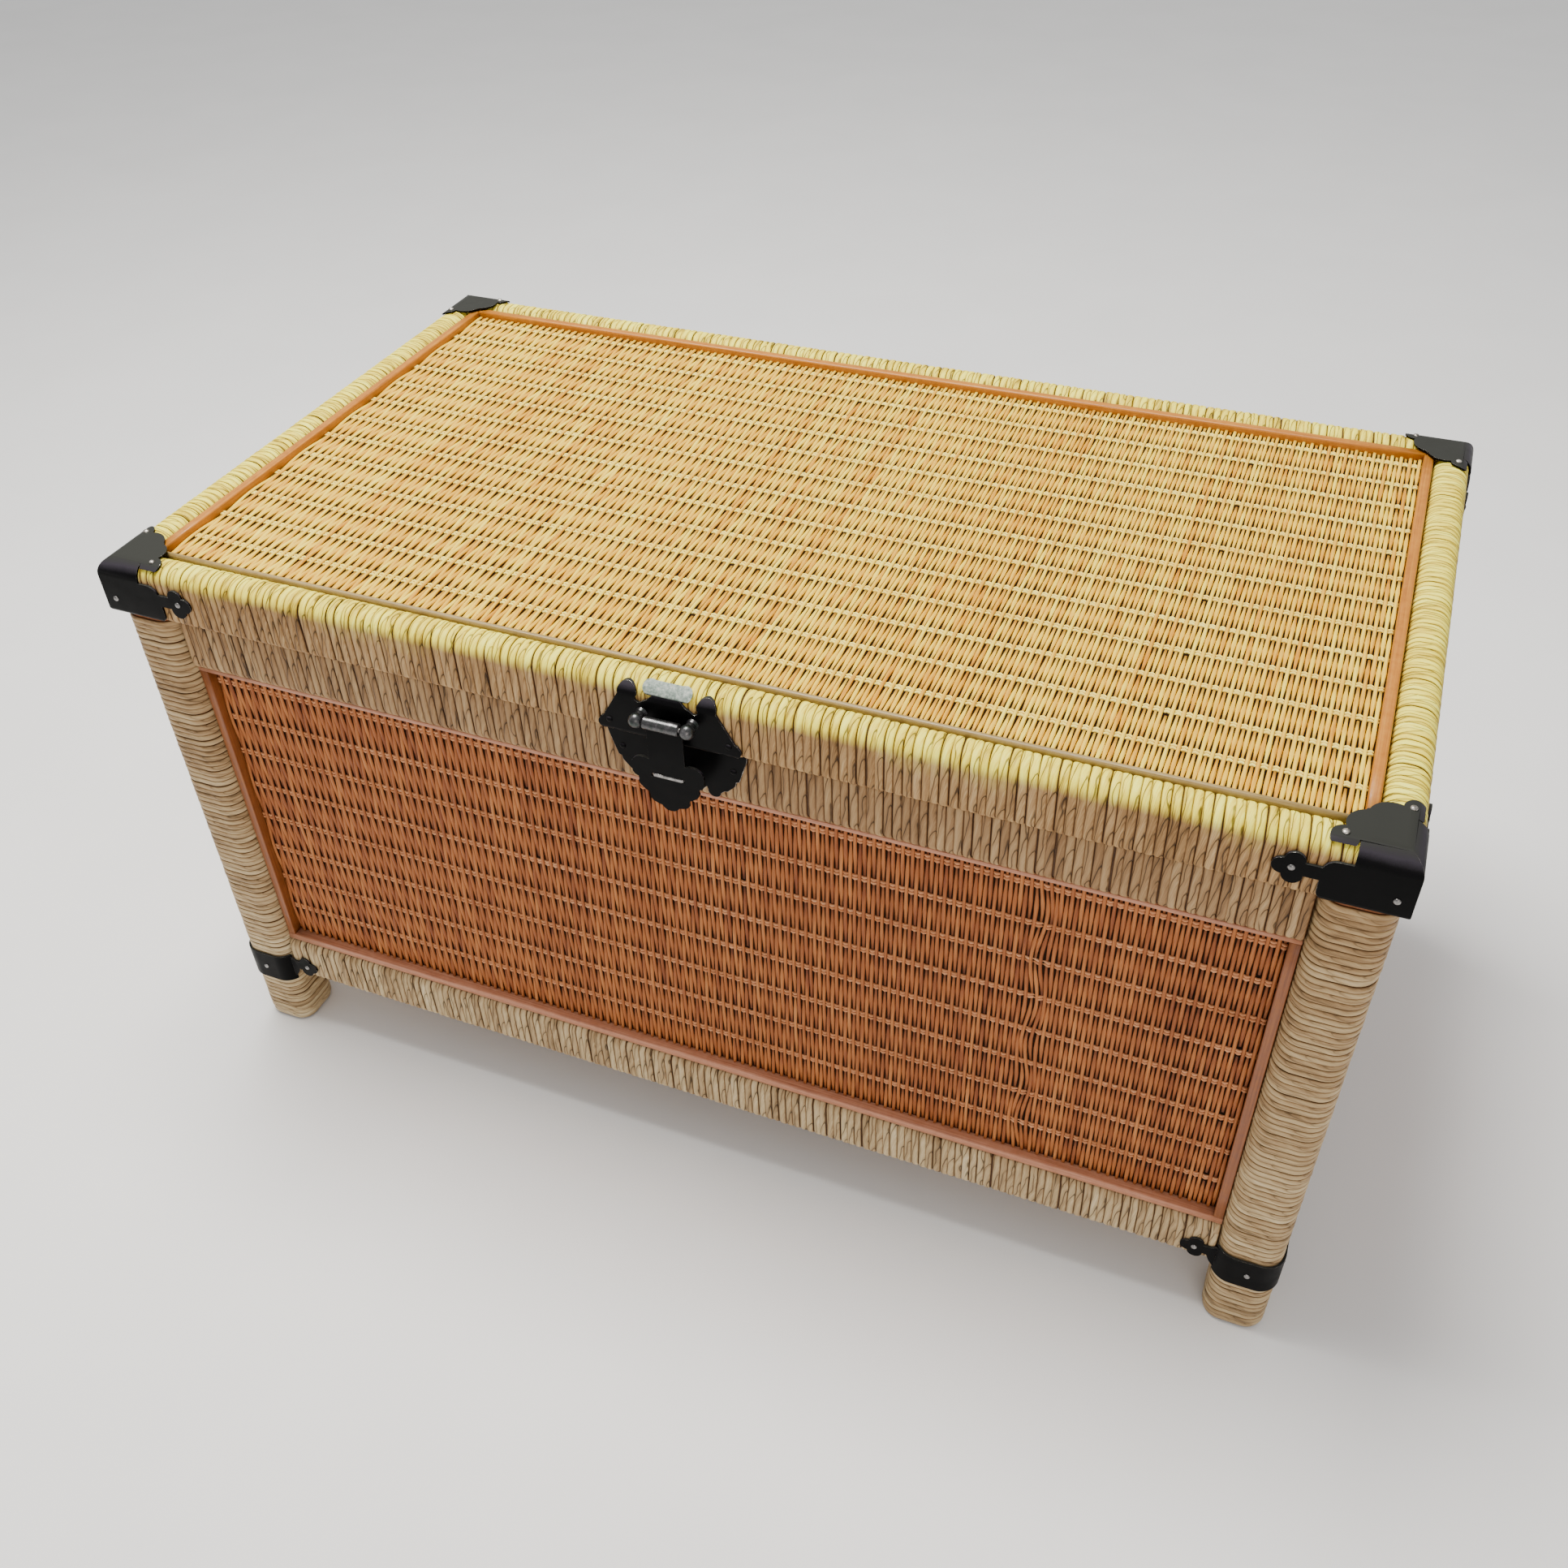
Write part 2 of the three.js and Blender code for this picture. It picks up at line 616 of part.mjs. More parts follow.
// The upper lock plate follows the lid's bullnose: two ears, a T-shaped tab and the hasp's lugs.
function upperLockPlate() {
  const sheet = lidBlock(FIT + IRON).subtract(lidBlock(FIT));
  const { bottom, half, ear, notch, shoulder, tab, bar } = LOCK;
  const outer = -DEPTH / 2;
  const inner = outer + LID_ROUND;
  const right = [
    [half - LOCK.corner, bottom],
    [half, bottom + LOCK.corner],
    [ear.x + ear.radius, ear.z],
    [notch.x, ear.z],
    [notch.x, notch.z],
    [shoulder, notch.z],
    [tab.half, tab.z],
  ];
  const barShape = roundedRect(-bar.half, bar.half, -bar.near, -bar.far, Array(4).fill(bar.radius));
  const outline = union([
    prism(bothSides(right), 'y', outer - PAST, inner),
    prism(disc(ear.x, ear.z, ear.radius), 'y', outer - PAST, inner),
    prism(disc(-ear.x, ear.z, ear.radius), 'y', outer - PAST, inner),
    prism(barShape, 'z', bar.bottom, HEIGHT + PAST),
  ]);
  const lug = (side) => {
    const x = side * LOCK.knuckleX;
    return prism(disc(x, HASP_AXIS_Z, LOCK.lugRadius), 'y', HASP_AXIS_Y, outer + IRON / 2)
      .add(ball(LOCK.ballRadius, x, HASP_AXIS_Y, HASP_AXIS_Z));
  };
  const bore = rod(LOCK.boreRadius, -half, half, HASP_AXIS_Y, HASP_AXIS_Z);
  return union([
    sheet.intersect(outline),
    lug(-1).subtract(bore),
    lug(1).subtract(bore),
    nail(-LOCK.nail.x, outer, LOCK.nail.z, FRONT),
    nail(LOCK.nail.x, outer, LOCK.nail.z, FRONT),
  ]);
}

// The hasp: a barrel on the pin and a hanging leaf with a slot for the staple.
function hasp() {
  const back = HASP_AXIS_Y + LOCK.barrelRadius;
  const front = back - HASP.thick;
  const { barrelHalf, barrelRadius, boreRadius } = LOCK;
  const bore = rod(boreRadius, -FAR, FAR, HASP_AXIS_Y, HASP_AXIS_Z);
  const barrel = rod(barrelRadius, -barrelHalf, barrelHalf, HASP_AXIS_Y, HASP_AXIS_Z);
  const shoulderX = HASP.wideHalf - HASP.shoulderRadius;
  const neckShape = roundedRect(
    -HASP.neckHalf,
    HASP.neckHalf,
    HASP.shoulderZ,
    HASP_AXIS_Z,
    [0, 0, 0, 0],
  );
  const leafPoints = [
    [shoulderX, HASP.shoulderZ + HASP.shoulderRadius],
    [HASP.wideHalf, HASP.shoulderZ],
    ...HASP.steps,
  ];
  const slot = roundedRect(
    -HASP.slotHalf,
    HASP.slotHalf,
    HASP.slotZ - HASP.slotHeight / 2,
    HASP.slotZ + HASP.slotHeight / 2,
    [0, 0, 0, 0],
  );
  return union([
    barrel,
    prism(neckShape, 'y', front, back),
    prism(bothSides(leafPoints), 'y', front, back),
    prism(disc(shoulderX, HASP.shoulderZ, HASP.shoulderRadius), 'y', front, back),
    prism(disc(-shoulderX, HASP.shoulderZ, HASP.shoulderRadius), 'y', front, back),
  ])
    .subtract(bore)
    .subtract(prism(slot, 'y', front - PAST, back + PAST));
}

function haspPin() {
  const { pinHalf, pinRadius, pinCap } = LOCK;
  return union([
    rod(pinRadius, -pinHalf, pinHalf, HASP_AXIS_Y, HASP_AXIS_Z),
    rod(pinCap.radius, -pinHalf, -pinHalf + pinCap.length, HASP_AXIS_Y, HASP_AXIS_Z),
    rod(pinCap.radius, pinHalf - pinCap.length, pinHalf, HASP_AXIS_Y, HASP_AXIS_Z),
  ]);
}

// The lower lock plate on the upper front rail, with a notched bottom edge.
function lowerLockPlate() {
  const back = -RAIL_Y - FIT;
  const front = back - IRON;
  const { half, top, side, bottomHalf, bottom, notch } = LOWER_PLATE;
  const right = [
    [notch.x - notch.half, bottom],
    [notch.x, notch.z],
    [notch.x + notch.half, bottom],
    [bottomHalf, bottom],
    [half, side],
    [half, top],
  ];
  return union([
    prism(bothSides(right), 'y', front, back),
    nail(-LOWER_PLATE.nail.x, front, LOWER_PLATE.nail.z, FRONT),
    nail(LOWER_PLATE.nail.x, front, LOWER_PLATE.nail.z, FRONT),
  ]);
}

// A U-shaped staple that stands on the lower plate and ends just behind the hasp's slot.
function staple() {
  const foot = -RAIL_Y - IRON - FIT * 2;
  const tip = HASP_AXIS_Y + LOCK.barrelRadius + FIT;
  const { half, bar, z } = STAPLE;
  const loop = box(-half, half, tip, foot, z - bar / 2, z + bar / 2);
  return loop.subtract(box(-half + bar, half - bar, tip + bar, foot + PAST, z - bar, z + bar));
}

// ---------------------------------------------------------------- back hinges

// Where one leaf's knuckles start and end along the pin: every other one, counted from first.
function knuckles(x, first) {
  const length = (HINGE.half * 2) / HINGE.knuckles;
  const pieces = [];
  for (let i = first; i < HINGE.knuckles; i += 2) {
    const start = x - HINGE.half + i * length + HINGE.knuckleGap / 2;
    const end = start + length - HINGE.knuckleGap;
    pieces.push({ start, end });
  }
  return pieces;
}

// The lid's leaf lies flat on the lid's back rail.
function hingeLidLeaf(x) {
  const face = LID_Y + FIT;
  const { half, axisZ, barrelRadius, boreRadius, crankOver } = HINGE;
  const foot = axisZ + barrelRadius + crankOver;
  const plate = box(x - half, x + half, face, face + IRON, foot, HINGE.lidLeafTop);
  const bore = rod(boreRadius, -FAR, FAR, HINGE_AXIS_Y, axisZ);
  const arms = knuckles(x, 1).map(({ start, end }) => union([
    rod(barrelRadius, start, end, HINGE_AXIS_Y, axisZ),
    box(start, end, face, face + IRON + crankOver, axisZ + crankOver, foot + crankOver),
  ]));
  const nailY = face + IRON;
  const nailZ = (foot + HINGE.lidLeafTop) / 2;
  return union([
    union([plate, ...arms]).subtract(bore),
    nail(x - HINGE.nailX, nailY, nailZ, BACK),
    nail(x, nailY, nailZ + HINGE.nailStep, BACK),
    nail(x + HINGE.nailX, nailY, nailZ, BACK),
  ]);
}

// The body's leaf lies on the recessed back rail and is cranked out to the pin under the lid.
function hingeBodyLeaf(x) {
  const face = RAIL_Y + FIT;
  const { half, axisZ, bodyLeafBottom, crankTop, crankOver, barrelRadius, boreRadius } = HINGE;
  const plate = box(x - half, x + half, face, face + IRON, bodyLeafBottom, crankTop);
  const bore = rod(boreRadius, -FAR, FAR, HINGE_AXIS_Y, axisZ);
  const barrelLow = axisZ - barrelRadius;
  const crank = polygon([
    [face, crankTop - IRON * 2],
    [face + IRON, crankTop - IRON * 2],
    [HINGE_AXIS_Y + crankOver, barrelLow],
    [HINGE_AXIS_Y - crankOver, barrelLow + IRON + FIT],
    [face, crankTop],
  ]);
  const arms = knuckles(x, 0).map(({ start, end }) => union([
    rod(barrelRadius, start, end, HINGE_AXIS_Y, axisZ),
    prism(crank, 'x', start, end),
  ]));
  const nailY = face + IRON;
  const nailZ = bodyLeafBottom + HINGE.nailRise;
  return union([
    union([plate, ...arms]).subtract(bore),
    nail(x - HINGE.nailX, nailY, nailZ, BACK),
    nail(x, nailY, nailZ - HINGE.nailStep, BACK),
    nail(x + HINGE.nailX, nailY, nailZ, BACK),
  ]);
}

function addHinges() {
  for (const [side, x] of [['left', -HINGE.x], ['right', HINGE.x]]) {
    add(`hinge_lid_leaf_${side}`, hingeLidLeaf(x), iron);
    add(`hinge_body_leaf_${side}`, hingeBodyLeaf(x), iron);
    const half = HINGE.half + HINGE.pinOut;
    add(`hinge_pin_${side}`, rod(HINGE.pinRadius, x - half, x + half, HINGE_AXIS_Y, HINGE.axisZ), steel);
  }
}

// ---------------------------------------------------------------- build

addAtCorners('post', post(), cord);
addBodyRails('upper', UPPER_RAIL);
addBodyRails('lower', LOWER_RAIL);
addBays();
addFloor();
addLidRails();
addLidField();
addAtCorners('lid_bracket', lidBracket(), iron);
addAtCorners('foot_strap', footStrap(), iron);
add('lock_plate_upper', upperLockPlate(), iron);
add('lock_plate_lower', lowerLockPlate(), iron);
add('lock_staple', staple(), steel);
add('hasp', hasp(), iron);
add('hasp_pin', haspPin(), steel);
addHinges();

export default trunk;
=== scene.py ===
"""A wicker storage trunk: woven cane panels in a cord-wound frame, with black iron fittings."""

import math

import bmesh
import bpy
import numpy as np
from mathutils import Matrix, Vector


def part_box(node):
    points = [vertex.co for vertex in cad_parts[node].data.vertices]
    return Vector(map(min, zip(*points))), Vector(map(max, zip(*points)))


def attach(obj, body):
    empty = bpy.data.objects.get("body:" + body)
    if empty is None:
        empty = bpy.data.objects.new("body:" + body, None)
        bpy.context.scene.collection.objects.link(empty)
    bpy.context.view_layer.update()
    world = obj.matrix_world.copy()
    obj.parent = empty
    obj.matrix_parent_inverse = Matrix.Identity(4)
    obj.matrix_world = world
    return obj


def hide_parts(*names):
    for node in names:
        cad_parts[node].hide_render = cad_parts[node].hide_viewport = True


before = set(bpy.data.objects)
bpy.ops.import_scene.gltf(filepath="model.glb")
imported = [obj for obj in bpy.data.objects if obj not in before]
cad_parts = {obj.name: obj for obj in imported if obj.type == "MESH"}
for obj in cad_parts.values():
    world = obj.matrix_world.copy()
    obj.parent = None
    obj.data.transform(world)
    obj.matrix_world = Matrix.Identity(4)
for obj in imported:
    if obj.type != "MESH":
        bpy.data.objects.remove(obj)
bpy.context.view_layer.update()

rng = np.random.default_rng(11)

MM = 0.001
X, Y, Z = np.eye(3)


def box(node):
    """The low and the high corner of a CAD node."""
    return [np.array(corner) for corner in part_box(node)]


def add_object(name, mesh, materials):
    for material in materials:
        mesh.materials.append(material)
    piece = bpy.data.objects.new(name, mesh)
    bpy.context.scene.collection.objects.link(piece)
    return piece


def join_body(pieces, body):
    for piece in pieces:
        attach(piece, body)


# ---- the camera

CAMERA_AT = (0.3449, -0.87095, 0.9953)
CAMERA_YAW = -0.4039
CAMERA_PITCH = 0.7043
CAMERA_ROLL = -0.0318
CAMERA_LENS = 34.44


def add_camera():
    ahead = Vector((
        math.sin(CAMERA_YAW) * math.cos(CAMERA_PITCH),
        math.cos(CAMERA_YAW) * math.cos(CAMERA_PITCH),
        -math.sin(CAMERA_PITCH),
    ))
    level = Vector((math.cos(CAMERA_YAW), -math.sin(CAMERA_YAW), 0))
    above = level.cross(ahead)
    right = level * math.cos(CAMERA_ROLL) + above * math.sin(CAMERA_ROLL)
    up = above * math.cos(CAMERA_ROLL) - level * math.sin(CAMERA_ROLL)
    turn = Matrix((right, up, -ahead)).transposed()
    data = bpy.data.cameras.new("camera")
    data.lens = CAMERA_LENS
    camera = bpy.data.objects.new("camera", data)
    camera.matrix_world = Matrix.Translation(CAMERA_AT) @ turn.to_4x4()
    bpy.context.scene.collection.objects.link(camera)
    bpy.context.scene.camera = camera


# ---- materials


class Shader:
    """A node material, built by short calls. Each call returns an output socket."""

    def __init__(self, name, roughness, metallic=0.0, specular=0.5):
        self.material = bpy.data.materials.new(name)
        self.material.use_nodes = True
        self.tree = self.material.node_tree
        self.surface = self.tree.nodes["Principled BSDF"]
        self.surface.inputs["Roughness"].default_value = roughness
        self.surface.inputs["Metallic"].default_value = metallic
        self.surface.inputs["Specular IOR Level"].default_value = specular

    def node(self, kind, inputs=(), **settings):
        node = self.tree.nodes.new(kind)
        for key, value in settings.items():
            setattr(node, key, value)
        for key, value in dict(inputs).items():
            if isinstance(value, bpy.types.NodeSocket):
                self.tree.links.new(value, node.inputs[key])
            else:
                node.inputs[key].default_value = value
        return node

    def maths(self, operation, a, b=0.0):
        return self.node("ShaderNodeMath", {0: a, 1: b}, operation=operation).outputs[0]

    def times(self, a, b, plus=0.0):
        inputs = {0: a, 1: b, 2: plus}
        return self.node("ShaderNodeMath", inputs, operation="MULTIPLY_ADD").outputs[0]

    def parts(self, vector):
        return self.node("ShaderNodeSeparateXYZ", {0: vector}).outputs

    def combine(self, x, y, z):
        return self.node("ShaderNodeCombineXYZ", {0: x, 1: y, 2: z}).outputs[0]

    def noise(self, vector, scale=1.0, detail=2.0, rough=0.5):
        inputs = {"Vector": vector, "Scale": scale, "Detail": detail, "Roughness": rough}
        return self.node("ShaderNodeTexNoise", inputs).outputs["Fac"]

    def ramp(self, value, stops):
        node = self.node("ShaderNodeValToRGB", {0: value})
        elements = node.color_ramp.elements
        while len(elements) < len(stops):
            elements.new(1.0)
        for element, (at, colour) in zip(elements, stops):
            element.position = at
            element.color = (*colour, 1)
        return node.outputs["Color"]

    def mix(self, factor, a, b, blend="MIX"):
        """b over a. Both are colour sockets, which are inputs 6 and 7 of the node."""
        inputs = {0: factor, 6: a, 7: b}
        return self.node("ShaderNodeMix", inputs, data_type="RGBA", blend_type=blend).outputs[2]

    def multiply(self, a, b):
        return self.mix(1.0, a, b, "MULTIPLY")

    def range(self, value, from_low, from_high, to_low=0.0, to_high=1.0):
        inputs = {0: value, 1: from_low, 2: from_high, 3: to_low, 4: to_high}
        return self.node("ShaderNodeMapRange", inputs).outputs[0]

    def fibre(self):
        """Where a point is on its strand, in metres along and across it, and the strand's number."""
        attribute = self.node("ShaderNodeAttribute", attribute_name="fibre")
        return self.parts(attribute.outputs["Vector"])

    def shade(self):
        """How far a point stands out of the hollows round it, from 0 to 1."""
        return self.node("ShaderNodeAttribute", attribute_name="shade").outputs["Fac"]

    def place(self):
        return self.node("ShaderNodeTexCoord").outputs["Object"]

    def tilt(self):
        """1 where the surface faces up, 0 where it is upright and -1 where it faces down."""
        return self.parts(self.node("ShaderNodeTexCoord").outputs["Normal"])[2]

    def colour(self, socket):
        self.tree.links.new(socket, self.surface.inputs["Base Color"])

    def roughness(self, noise, low, high):
        socket = self.range(noise, 0.3, 0.7, low, high)
        self.tree.links.new(socket, self.surface.inputs["Roughness"])

    def bump(self, height, distance, strength=1.0):
        inputs = {"Height": height, "Distance": distance, "Strength": strength}
        bump = self.node("ShaderNodeBump", inputs)
        self.tree.links.new(bump.outputs[0], self.surface.inputs["Normal"])


def cane_material(name, tones, hollow_shade, variety=0.2, underside=None):
    """Split cane: each strand has its own tone, with streaks, a satin skin and painted shade in its
    hollows.

    hollow_shade is the colour of painted shade deep in the weave and at the wefts' side edges, and
    variety is how far the strands' tones differ.
    underside is the paler colour that shows through where the cane faces down.
    """
    s = Shader(name, 0.48, specular=0.2)
    along, across, strand = s.fibre()
    drift = s.noise(s.combine(s.times(along, 18.0), 0.0, strand))
    own = s.node("ShaderNodeTexWhiteNoise", {"W": strand}, noise_dimensions="1D").outputs["Value"]
    grain = s.noise(s.combine(s.times(along, 70.0), s.times(across, 2300.0), strand), 1.0, 3.0, 0.6)
    tone = s.times(own, variety, s.times(drift, 0.75, -0.39 - variety / 2))
    shade = s.shade()
    # painted shade: the tone shifts lighter where the cane stands out and darker in the hollows, and
    # the colour darkens towards hollow_shade deep in the weave and at the wefts' side edges
    tone = s.times(shade, 0.12, s.times(grain, 0.75, tone))
    painted_shade = s.ramp(shade, [(0.0, hollow_shade), (0.24, (1, 1, 1))])
    colour = s.ramp(tone, tones)
    if underside:
        colour = s.mix(s.range(s.tilt(), -0.4, 0.0, 0.55, 0.0), colour, (*underside, 1))
    s.colour(s.multiply(colour, painted_shade))
    s.roughness(grain, 0.34, 0.6)
    s.bump(grain, 0.4 * MM, 0.6)
    return s.material


def hollow_shade_material():
    """The dark sheet in the middle of a weave, faintly mottled: painted shade that stands for the
    shade deep in the weave behind its gaps.
    """
    s = Shader("hollow_shade", 0.9, specular=0.1)
    weave = s.noise(s.place(), 700.0, 2.0)
    s.colour(s.ramp(weave, [(0.3, (0.01, 0.004, 0.0015)), (0.7, (0.022, 0.009, 0.003))]))
    s.bump(weave, 0.2 * MM, 0.5)
    return s.material


def cord_material(name, tones, contrast=0.85, twist=0.32, upright=None, shade_under_lid=None):
    """Flat twisted cord: long slanting grooves, fine fibres, and painted shade in the grooves and
    between the wraps.

    contrast is the fibres' share of the tone. twist is the brightness of the painted shade in the
    grooves, and 1 hides it. upright gives the tones of upright faces, painted shade beside the lit
    top. shade_under_lid is (low, high, painted_shade): the cord takes that colour as it rises from
    low to high, painted shade under the lid.
    """
    s = Shader(name, 0.5, specular=0.16)
    along, across, turn = s.fibre()
    slant = s.times(along, 0.17, across)
    steep = s.times(across, -0.17, along)
    fine = s.noise(s.combine(s.times(slant, 1900.0), s.times(steep, 60.0), turn), 1.0, 3.0, 0.6)
    drift = s.noise(s.combine(s.times(along, 38.0), turn, 0.0), 1.0, 1.5)
    phase = s.times(slant, 180.0, s.times(drift, 2.2))
    ridge = s.maths("PINGPONG", phase, 0.5)
    fade = s.noise(s.combine(s.times(along, 55.0), turn, 3.0), 1.0, 1.0)
    # painted shade: the colour darkens in the slanting twist grooves, down to twist, and the tone
    # rises on the ridges between them
    groove = s.maths("MAXIMUM", s.range(ridge, 0.015, 0.065, twist, 1.0), s.range(fade, 0.58, 0.72))
    own = s.noise(s.combine(turn, s.times(along, 4.0), 0.0), 1.0, 1.0)
    blotch = s.noise(s.place(), 22.0)
    tone = s.times(own, 0.7, s.times(fine, contrast, -0.04 - contrast / 2))
    tone = s.times(ridge, 0.3, s.times(blotch, 0.25, tone))
    colour = s.ramp(tone, tones)
    if upright:
        # painted light and shade: the top keeps the lit tones, and upright faces turn to the darker
        # upright tones
        painted_top_light = s.times(blotch, 0.35, s.maths("SUBTRACT", s.tilt(), 0.17))
        colour = s.mix(s.range(painted_top_light, 0.05, 0.6, 1.0, 0.0), colour, s.ramp(tone, upright))
    if shade_under_lid:
        # painted shade: the cord darkens towards its top, where the lid overhangs it
        low, high, painted_shade = shade_under_lid
        height = s.parts(s.place())[2]
        painted_lid_shade = s.ramp(s.range(height, low, high), [(0, (1, 1, 1)), (1, painted_shade)])
        colour = s.multiply(colour, painted_lid_shade)
    # painted shade: the cord darkens in the creases between the wraps, where its sides turn in
    crease = s.ramp(s.shade(), [(0.68, (0.16, 0.09, 0.05)), (0.78, (0.6, 0.52, 0.45)),
                                (0.93, (1, 1, 1))])
    s.colour(s.multiply(s.multiply(colour, groove), crease))
    s.roughness(fine, 0.34, 0.58)
    s.bump(s.times(groove, 0.8, s.times(fine, 0.35)), 0.8 * MM, 0.8)
    return s.material


def wood_material(name, tones, roughness=0.42):
    """Stained wood with streaks along its grain and small scuffs."""
    s = Shader(name, roughness)
    along, across, strand = s.fibre()
    streak = s.noise(s.combine(s.times(along, 16.0), s.times(across, 900.0), strand), 1.0, 4.0, 0.6)
    scuff = s.noise(s.place(), 160.0, 3.0, 0.7)
    tone = s.times(scuff, 0.3, s.times(streak, 0.8, -0.05))
    s.colour(s.ramp(tone, tones))
    s.roughness(scuff, roughness - 0.1, roughness + 0.14)
    s.bump(streak, 0.25 * MM, 0.5)
    return s.material


def board_material():
    """Plain boards: the grain runs along X, with darker rings."""
    s = Shader("board", 0.6)
    at = s.node("ShaderNodeMapping", {"Vector": s.place(), "Scale": (3.0, 40.0, 40.0)}).outputs[0]
    grain = s.noise(at, 1.0, 5.0, 0.65)
    s.colour(s.ramp(grain, [(0.3, (0.2, 0.11, 0.05)), (0.5, (0.36, 0.22, 0.1)),
                            (0.75, (0.5, 0.33, 0.17))]))
    s.roughness(grain, 0.5, 0.72)
    s.bump(grain, 0.4 * MM, 0.4)
    return s.material


REFLECTION_HALF = 16.5 * MM  # the painted reflection bar's reach from the middle
REFLECTION_FROM = 456.2 * MM  # and the height where it begins


def iron_material(name, painted_reflection=False):
    """Black iron: nearly black on upright faces, grey where it faces up as a painted sheen of the
    sky, finely pitted.

    painted_reflection adds a bright silver bar at the top of the lock plate: a painted reflection of
    the overhead light.
    """
    s = Shader(name, 0.42, specular=0.055)
    at = s.place()
    worn = s.noise(at, 60.0, 4.0, 0.65)
    pits = s.noise(at, 1400.0, 2.0, 0.6)
    # painted sheen: the tone rises where the surface faces up, and worn patches and pits vary it
    tone = s.times(pits, 0.12, s.times(worn, 0.22, s.maths("SUBTRACT", s.tilt(), 0.17)))
    colour = s.ramp(tone, [(0.1, (0.001, 0.001, 0.0012)), (0.4, (0.0035, 0.0032, 0.004)),
                           (0.72, (0.034, 0.03, 0.038)), (0.95, (0.028, 0.029, 0.026))])
    if painted_reflection:
        # painted reflection: a mottled silver bar across the top of the lock plate
        x, _, z = s.parts(at)
        middle = s.maths("LESS_THAN", s.maths("ABSOLUTE", x), REFLECTION_HALF)
        bar = s.times(middle, s.range(z, REFLECTION_FROM, REFLECTION_FROM + 1 * MM))
        reflection_tones = s.ramp(s.noise(at, 420.0, 3.0, 0.7), [(0.35, (0.16, 0.21, 0.18)),
                                                       (0.55, (0.34, 0.39, 0.35)),
                                                       (0.7, (0.54, 0.57, 0.51))])
        colour = s.mix(bar, colour, reflection_tones)
    s.colour(colour)
    s.roughness(worn, 0.3, 0.5)
    s.bump(s.times(pits, 0.5, worn), 0.12 * MM, 0.3)
    return s.material


def metal_material(name, tones, roughness):
    """Bare metal: patchy and finely pitted."""
    s = Shader(name, roughness, 0.85)
    at = s.place()
    patch = s.noise(at, 240.0, 4.0, 0.65)
    pits = s.noise(at, 1800.0, 2.0)
    s.colour(s.ramp(patch, tones))
    s.roughness(pits, roughness - 0.06, roughness + 0.12)
    s.bump(pits, 0.05 * MM, 0.4)
    return s.material


def floor_material():
    s = Shader("floor", 0.7)
    speck = s.noise(s.place(), 6.0, 3.0)
    s.colour(s.ramp(speck, [(0.3, (0.9, 0.9, 0.9)), (0.7, (0.93, 0.93, 0.93))]))
    return s.material


# the stops of each colour ramp, from its darkest streaks to its lightest
# one cane: honey and cream carry painted light on the lid, and russet and rose carry painted shade
# on the body
honey = [(0.15, (0.58, 0.24, 0.014)), (0.4, (0.83, 0.49, 0.036)), (0.6, (0.94, 0.68, 0.062)),
         (0.85, (0.99, 0.86, 0.13))]
russet = [(0.15, (0.2, 0.048, 0.013)), (0.42, (0.38, 0.118, 0.03)), (0.62, (0.51, 0.185, 0.05)),
          (0.88, (0.67, 0.31, 0.11))]
cream = [(0.2, (0.84, 0.54, 0.07)), (0.5, (0.97, 0.78, 0.15)), (0.8, (1.0, 0.92, 0.26))]
rose = [(0.2, (0.46, 0.17, 0.06)), (0.5, (0.66, 0.29, 0.13)), (0.8, (0.85, 0.48, 0.26))]
straw = [(0.2, (0.32, 0.2, 0.014)), (0.45, (0.85, 0.67, 0.058)), (0.65, (0.98, 0.9, 0.1)),
         (0.9, (1.0, 1.0, 0.26))]
flax = [(0.2, (0.143, 0.083, 0.033)), (0.45, (0.42, 0.286, 0.145)), (0.65, (0.58, 0.445, 0.248)),
        (0.9, (0.78, 0.68, 0.45))]
# the lid cord's upright faces: painted shade, darker than its lit straw top
upright_shade_tones = [(0.2, (0.125, 0.06, 0.017)), (0.45, (0.34, 0.19, 0.072)), (0.65, (0.47, 0.295, 0.13)),
          (0.9, (0.64, 0.46, 0.24))]
dark = [(0.2, (0.05, 0.022, 0.008)), (0.5, (0.12, 0.055, 0.022)), (0.85, (0.2, 0.1, 0.04))]
redwood = [(0.2, (0.22, 0.07, 0.032)), (0.5, (0.46, 0.19, 0.1)), (0.85, (0.66, 0.35, 0.22))]
amber = [(0.2, (0.22, 0.062, 0.003)), (0.5, (0.44, 0.155, 0.009)), (0.85, (0.6, 0.27, 0.025))]
umber = [(0.2, (0.1, 0.022, 0.005)), (0.5, (0.24, 0.07, 0.014)), (0.85, (0.42, 0.15, 0.035))]
edge_tones = [(0.35, (0.06, 0.055, 0.05)), (0.5, (0.3, 0.28, 0.25)), (0.62, (0.86, 0.82, 0.76))]
gun_tones = [(0.3, (0.03, 0.042, 0.036)), (0.55, (0.085, 0.082, 0.086)), (0.75, (0.2, 0.195, 0.2))]
steel_tones = [(0.3, (0.14, 0.135, 0.135)), (0.55, (0.28, 0.27, 0.265)), (0.75, (0.46, 0.45, 0.43))]
pale = [(0.2, (0.15, 0.09, 0.024)), (0.5, (0.28, 0.19, 0.062)), (0.85, (0.42, 0.31, 0.13))]

# the third argument of each cane is the colour of its painted shade in the weave's hollows
lid_cane = cane_material("lid_cane", honey, (0.12, 0.045, 0.012), 0.3, (0.62, 0.42, 0.2))
body_cane = cane_material("body_cane", russet, (0.13, 0.055, 0.025))
lid_stakes = cane_material("lid_stakes", cream, (0.35, 0.2, 0.08), 0.2, (0.72, 0.55, 0.3))
body_stakes = cane_material("body_stakes", rose, (0.35, 0.2, 0.12))
hollow_shade = hollow_shade_material()
lid_cord = cord_material("lid_cord", straw, upright=upright_shade_tones)
